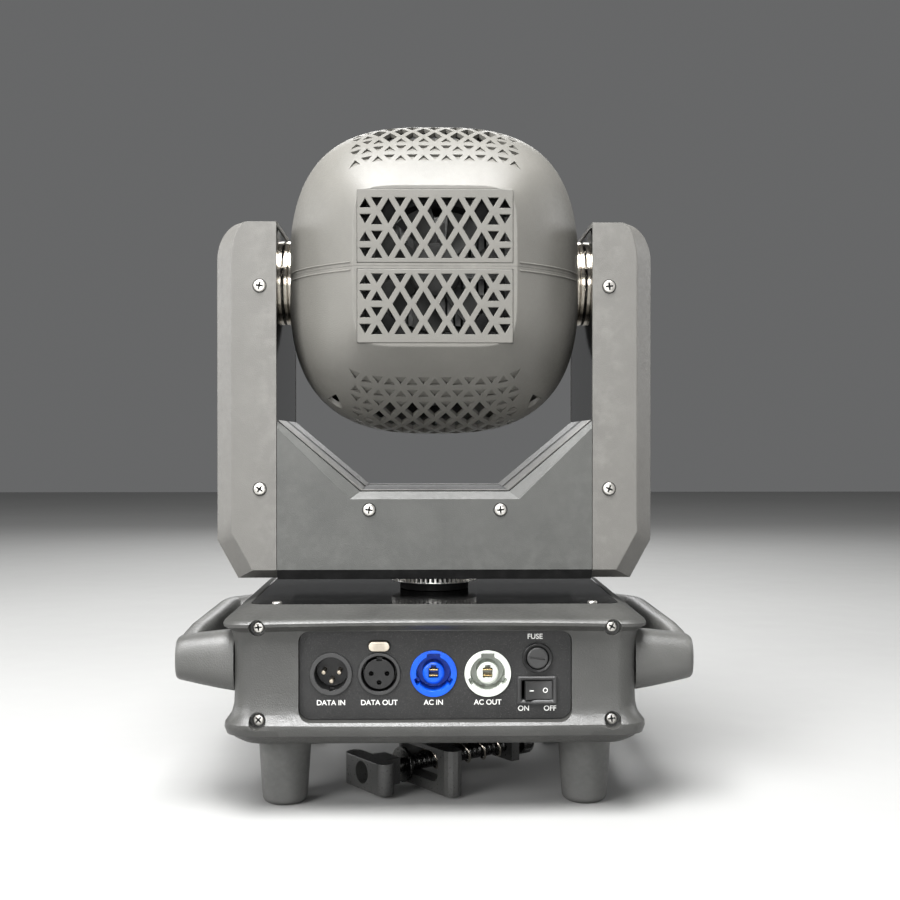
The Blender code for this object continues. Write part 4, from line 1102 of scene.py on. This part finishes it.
def clamp_details():
    """Rounded jaws, threaded bolt with its washer and knob, and the coil spring."""
    bolt_at = clamp_pose(v=CLAMP_V, z=CLAMP_BOLT_Z, direction="right")
    outline = rectangle((5.5, 20.5), (-61, CLAMP_V), 5.3, 10)
    jaw = plate("jaw_slab", [outline], 2, 20, clamp_pose(), 0.6)
    boss = block("jaw_boss", (-57, CLAMP_V - 8, 3.5), (-45, CLAMP_V + 8, 19), clamp_pose(), 0.6)
    cut(jaw, boss, operation="UNION")
    cut(jaw, turned("jaw_bore", [(0, -40), (4.3, -40), (4.3, -57), (6.4, -57), (6.4, -70), (0, -70)],
                    bolt_at, 48))
    stand_in(jaw, "clamp_slider", "clamp", "clamp_jaw", 32)
    pitch, start, end = 1.9, -58, 48
    thread = tube("bolt_thread", helix(3.8, start, end - start, (end - start) / pitch, 14), 0.6, bolt_at, 1)
    detail(thread, "clamp_screw", "dark_steel", "clamp_bolt", 40)
    shape = [(0, 58), (7, 58), (7.7, 57.2), (7.7, 50.8), (7, 50), (3.6, 50), (3.6, -58.4), (0, -58.4)]
    rod = turned("bolt_core", rounded(shape, 0.4), bolt_at, 48)
    cut(rod, *[cylinder("grip", 0.9, 48, 60, bolt_at @ Matrix.Rotation(angle, 4, "Z")
                        @ pose(at=(8, 0, 0)), 10) for angle in around_turn(14)])
    stand_in(rod, "clamp_screw", "dark_steel", "clamp_bolt")
    washer = rounded_loop([(10.2, -37.2), (10.2, -39), (4, -39), (4, -37.2)], 0.5)
    disc = turned("bolt_washer", washer, bolt_at, closed=True)
    detail(disc, "clamp_screw", "dark_steel", "clamp_bolt", 30)
    spring = tube("bolt_spring", helix(5.9, -23, 60, 5, 40), 0.75, bolt_at)
    stand_in(spring, "clamp", "chrome", "clamp_spring", 60)


def carried_over():
    """CAD nodes that keep their shape get the finished materials."""
    looks = {
        "top": "base_top_plate",
        "panel": "base_bottom_plate pan_motor tilt_motor",
        "alloy": "power_supply swivel_bolt head_chassis colour_wheel",
        "clamp": "omega_bracket clamp_frame",
        "steel": "pan_shaft pan_bearing",
        "black": "yoke_crossbar yoke_bottom_plate",
        "lacquer": "arm_frame_left arm_frame_right",
        "belt": "pan_belt tilt_belt",
        "brass": "pan_motor_pulley tilt_motor_pulley",
        "chrome": "tilt_hub_left tilt_hub_right",
    }
    for look, nodes in looks.items():
        for node in nodes.split():
            slots = frame["nodes"][node].data.materials
            slots.clear()
            slots.append(LOOK[look])


# ---- camera, floor and light

def studio():
    scene = bpy.context.scene
    bm = bmesh.new()
    bmesh.ops.create_grid(bm, x_segments=1, y_segments=1, size=4)
    mesh = bpy.data.meshes.new("floor")
    bm.to_mesh(mesh)
    bm.free()
    floor = link("floor", mesh)
    s = Shade("floor_pale")
    color = s.mottled((0.27, 0.27, 0.266), (0.29, 0.29, 0.286), 1.5, 2)
    mesh.materials.append(s.finished(color, s.ramp(s.noise(20, 2), 0.75, 0.85)))
    world = bpy.data.worlds.new("studio")
    world.use_nodes = True
    background = world.node_tree.nodes["Background"].inputs
    background["Color"].default_value = (0.9, 0.91, 0.92, 1)
    background["Strength"].default_value = 0.15
    scene.world = world
    scene.view_settings.view_transform = "Standard"
    lights = (("key", (-1.4, -1.4, 1), 0.9, 43), ("fill", (1.5, -1.3, 0.9), 0.9, 4),
              ("front", (-0.1, -1.8, 0.3), 0.4, 8), ("top", (-0.15, -0.6, 1.5), 0.9, 82),
              ("left", (-1.6, 0.4, 0.5), 0.6, 10), ("right", (1.6, 0.4, 0.6), 0.6, 8),
              ("back", (0, 1.6, 1.05), 0.8, 14))
    for name, place, width, power in lights:
        data = bpy.data.lights.new(name, "AREA")
        data.energy = power
        data.size = width
        lamp = added(name, data)
        lamp.location = place
        lamp.visible_camera = False
        aim = Vector((0, 0, 0.2)) - Vector(place)
        lamp.rotation_euler = aim.to_track_quat("-Z", "Y").to_euler()


def camera():
    data = bpy.data.cameras.new("camera")
    data.lens = 48.9
    data.sensor_width = 36
    obj = added("camera", data)
    obj.location = (-0.005, -0.754, 0.202)
    obj.rotation_euler = (math.radians(90 - 0.47), 0, math.radians(-1.12))
    bpy.context.scene.camera = obj


studio()
camera()
head_shell("head_shell_top", 1, "head_shell_upper")
head_shell("head_shell_bottom", -1, "head_shell_lower")
rear_panel("rear_grille_top", 1, "head_shell_upper")
rear_panel("rear_grille_bottom", -1, "head_shell_lower")
parting_lips()
tilt_hubs()
cooling_fan()
front_optics()
build_yoke()
base_housing()
feet()
for handle_side, handle_word in SIDES:
    handle(handle_side, handle_word)
connector_panel()
signal_in()
signal_out()
power_socket("in", "blue")
power_socket("out", "ivory")
fuse()
rocker_switch()
display_panel()
clamp_details()
carried_over()
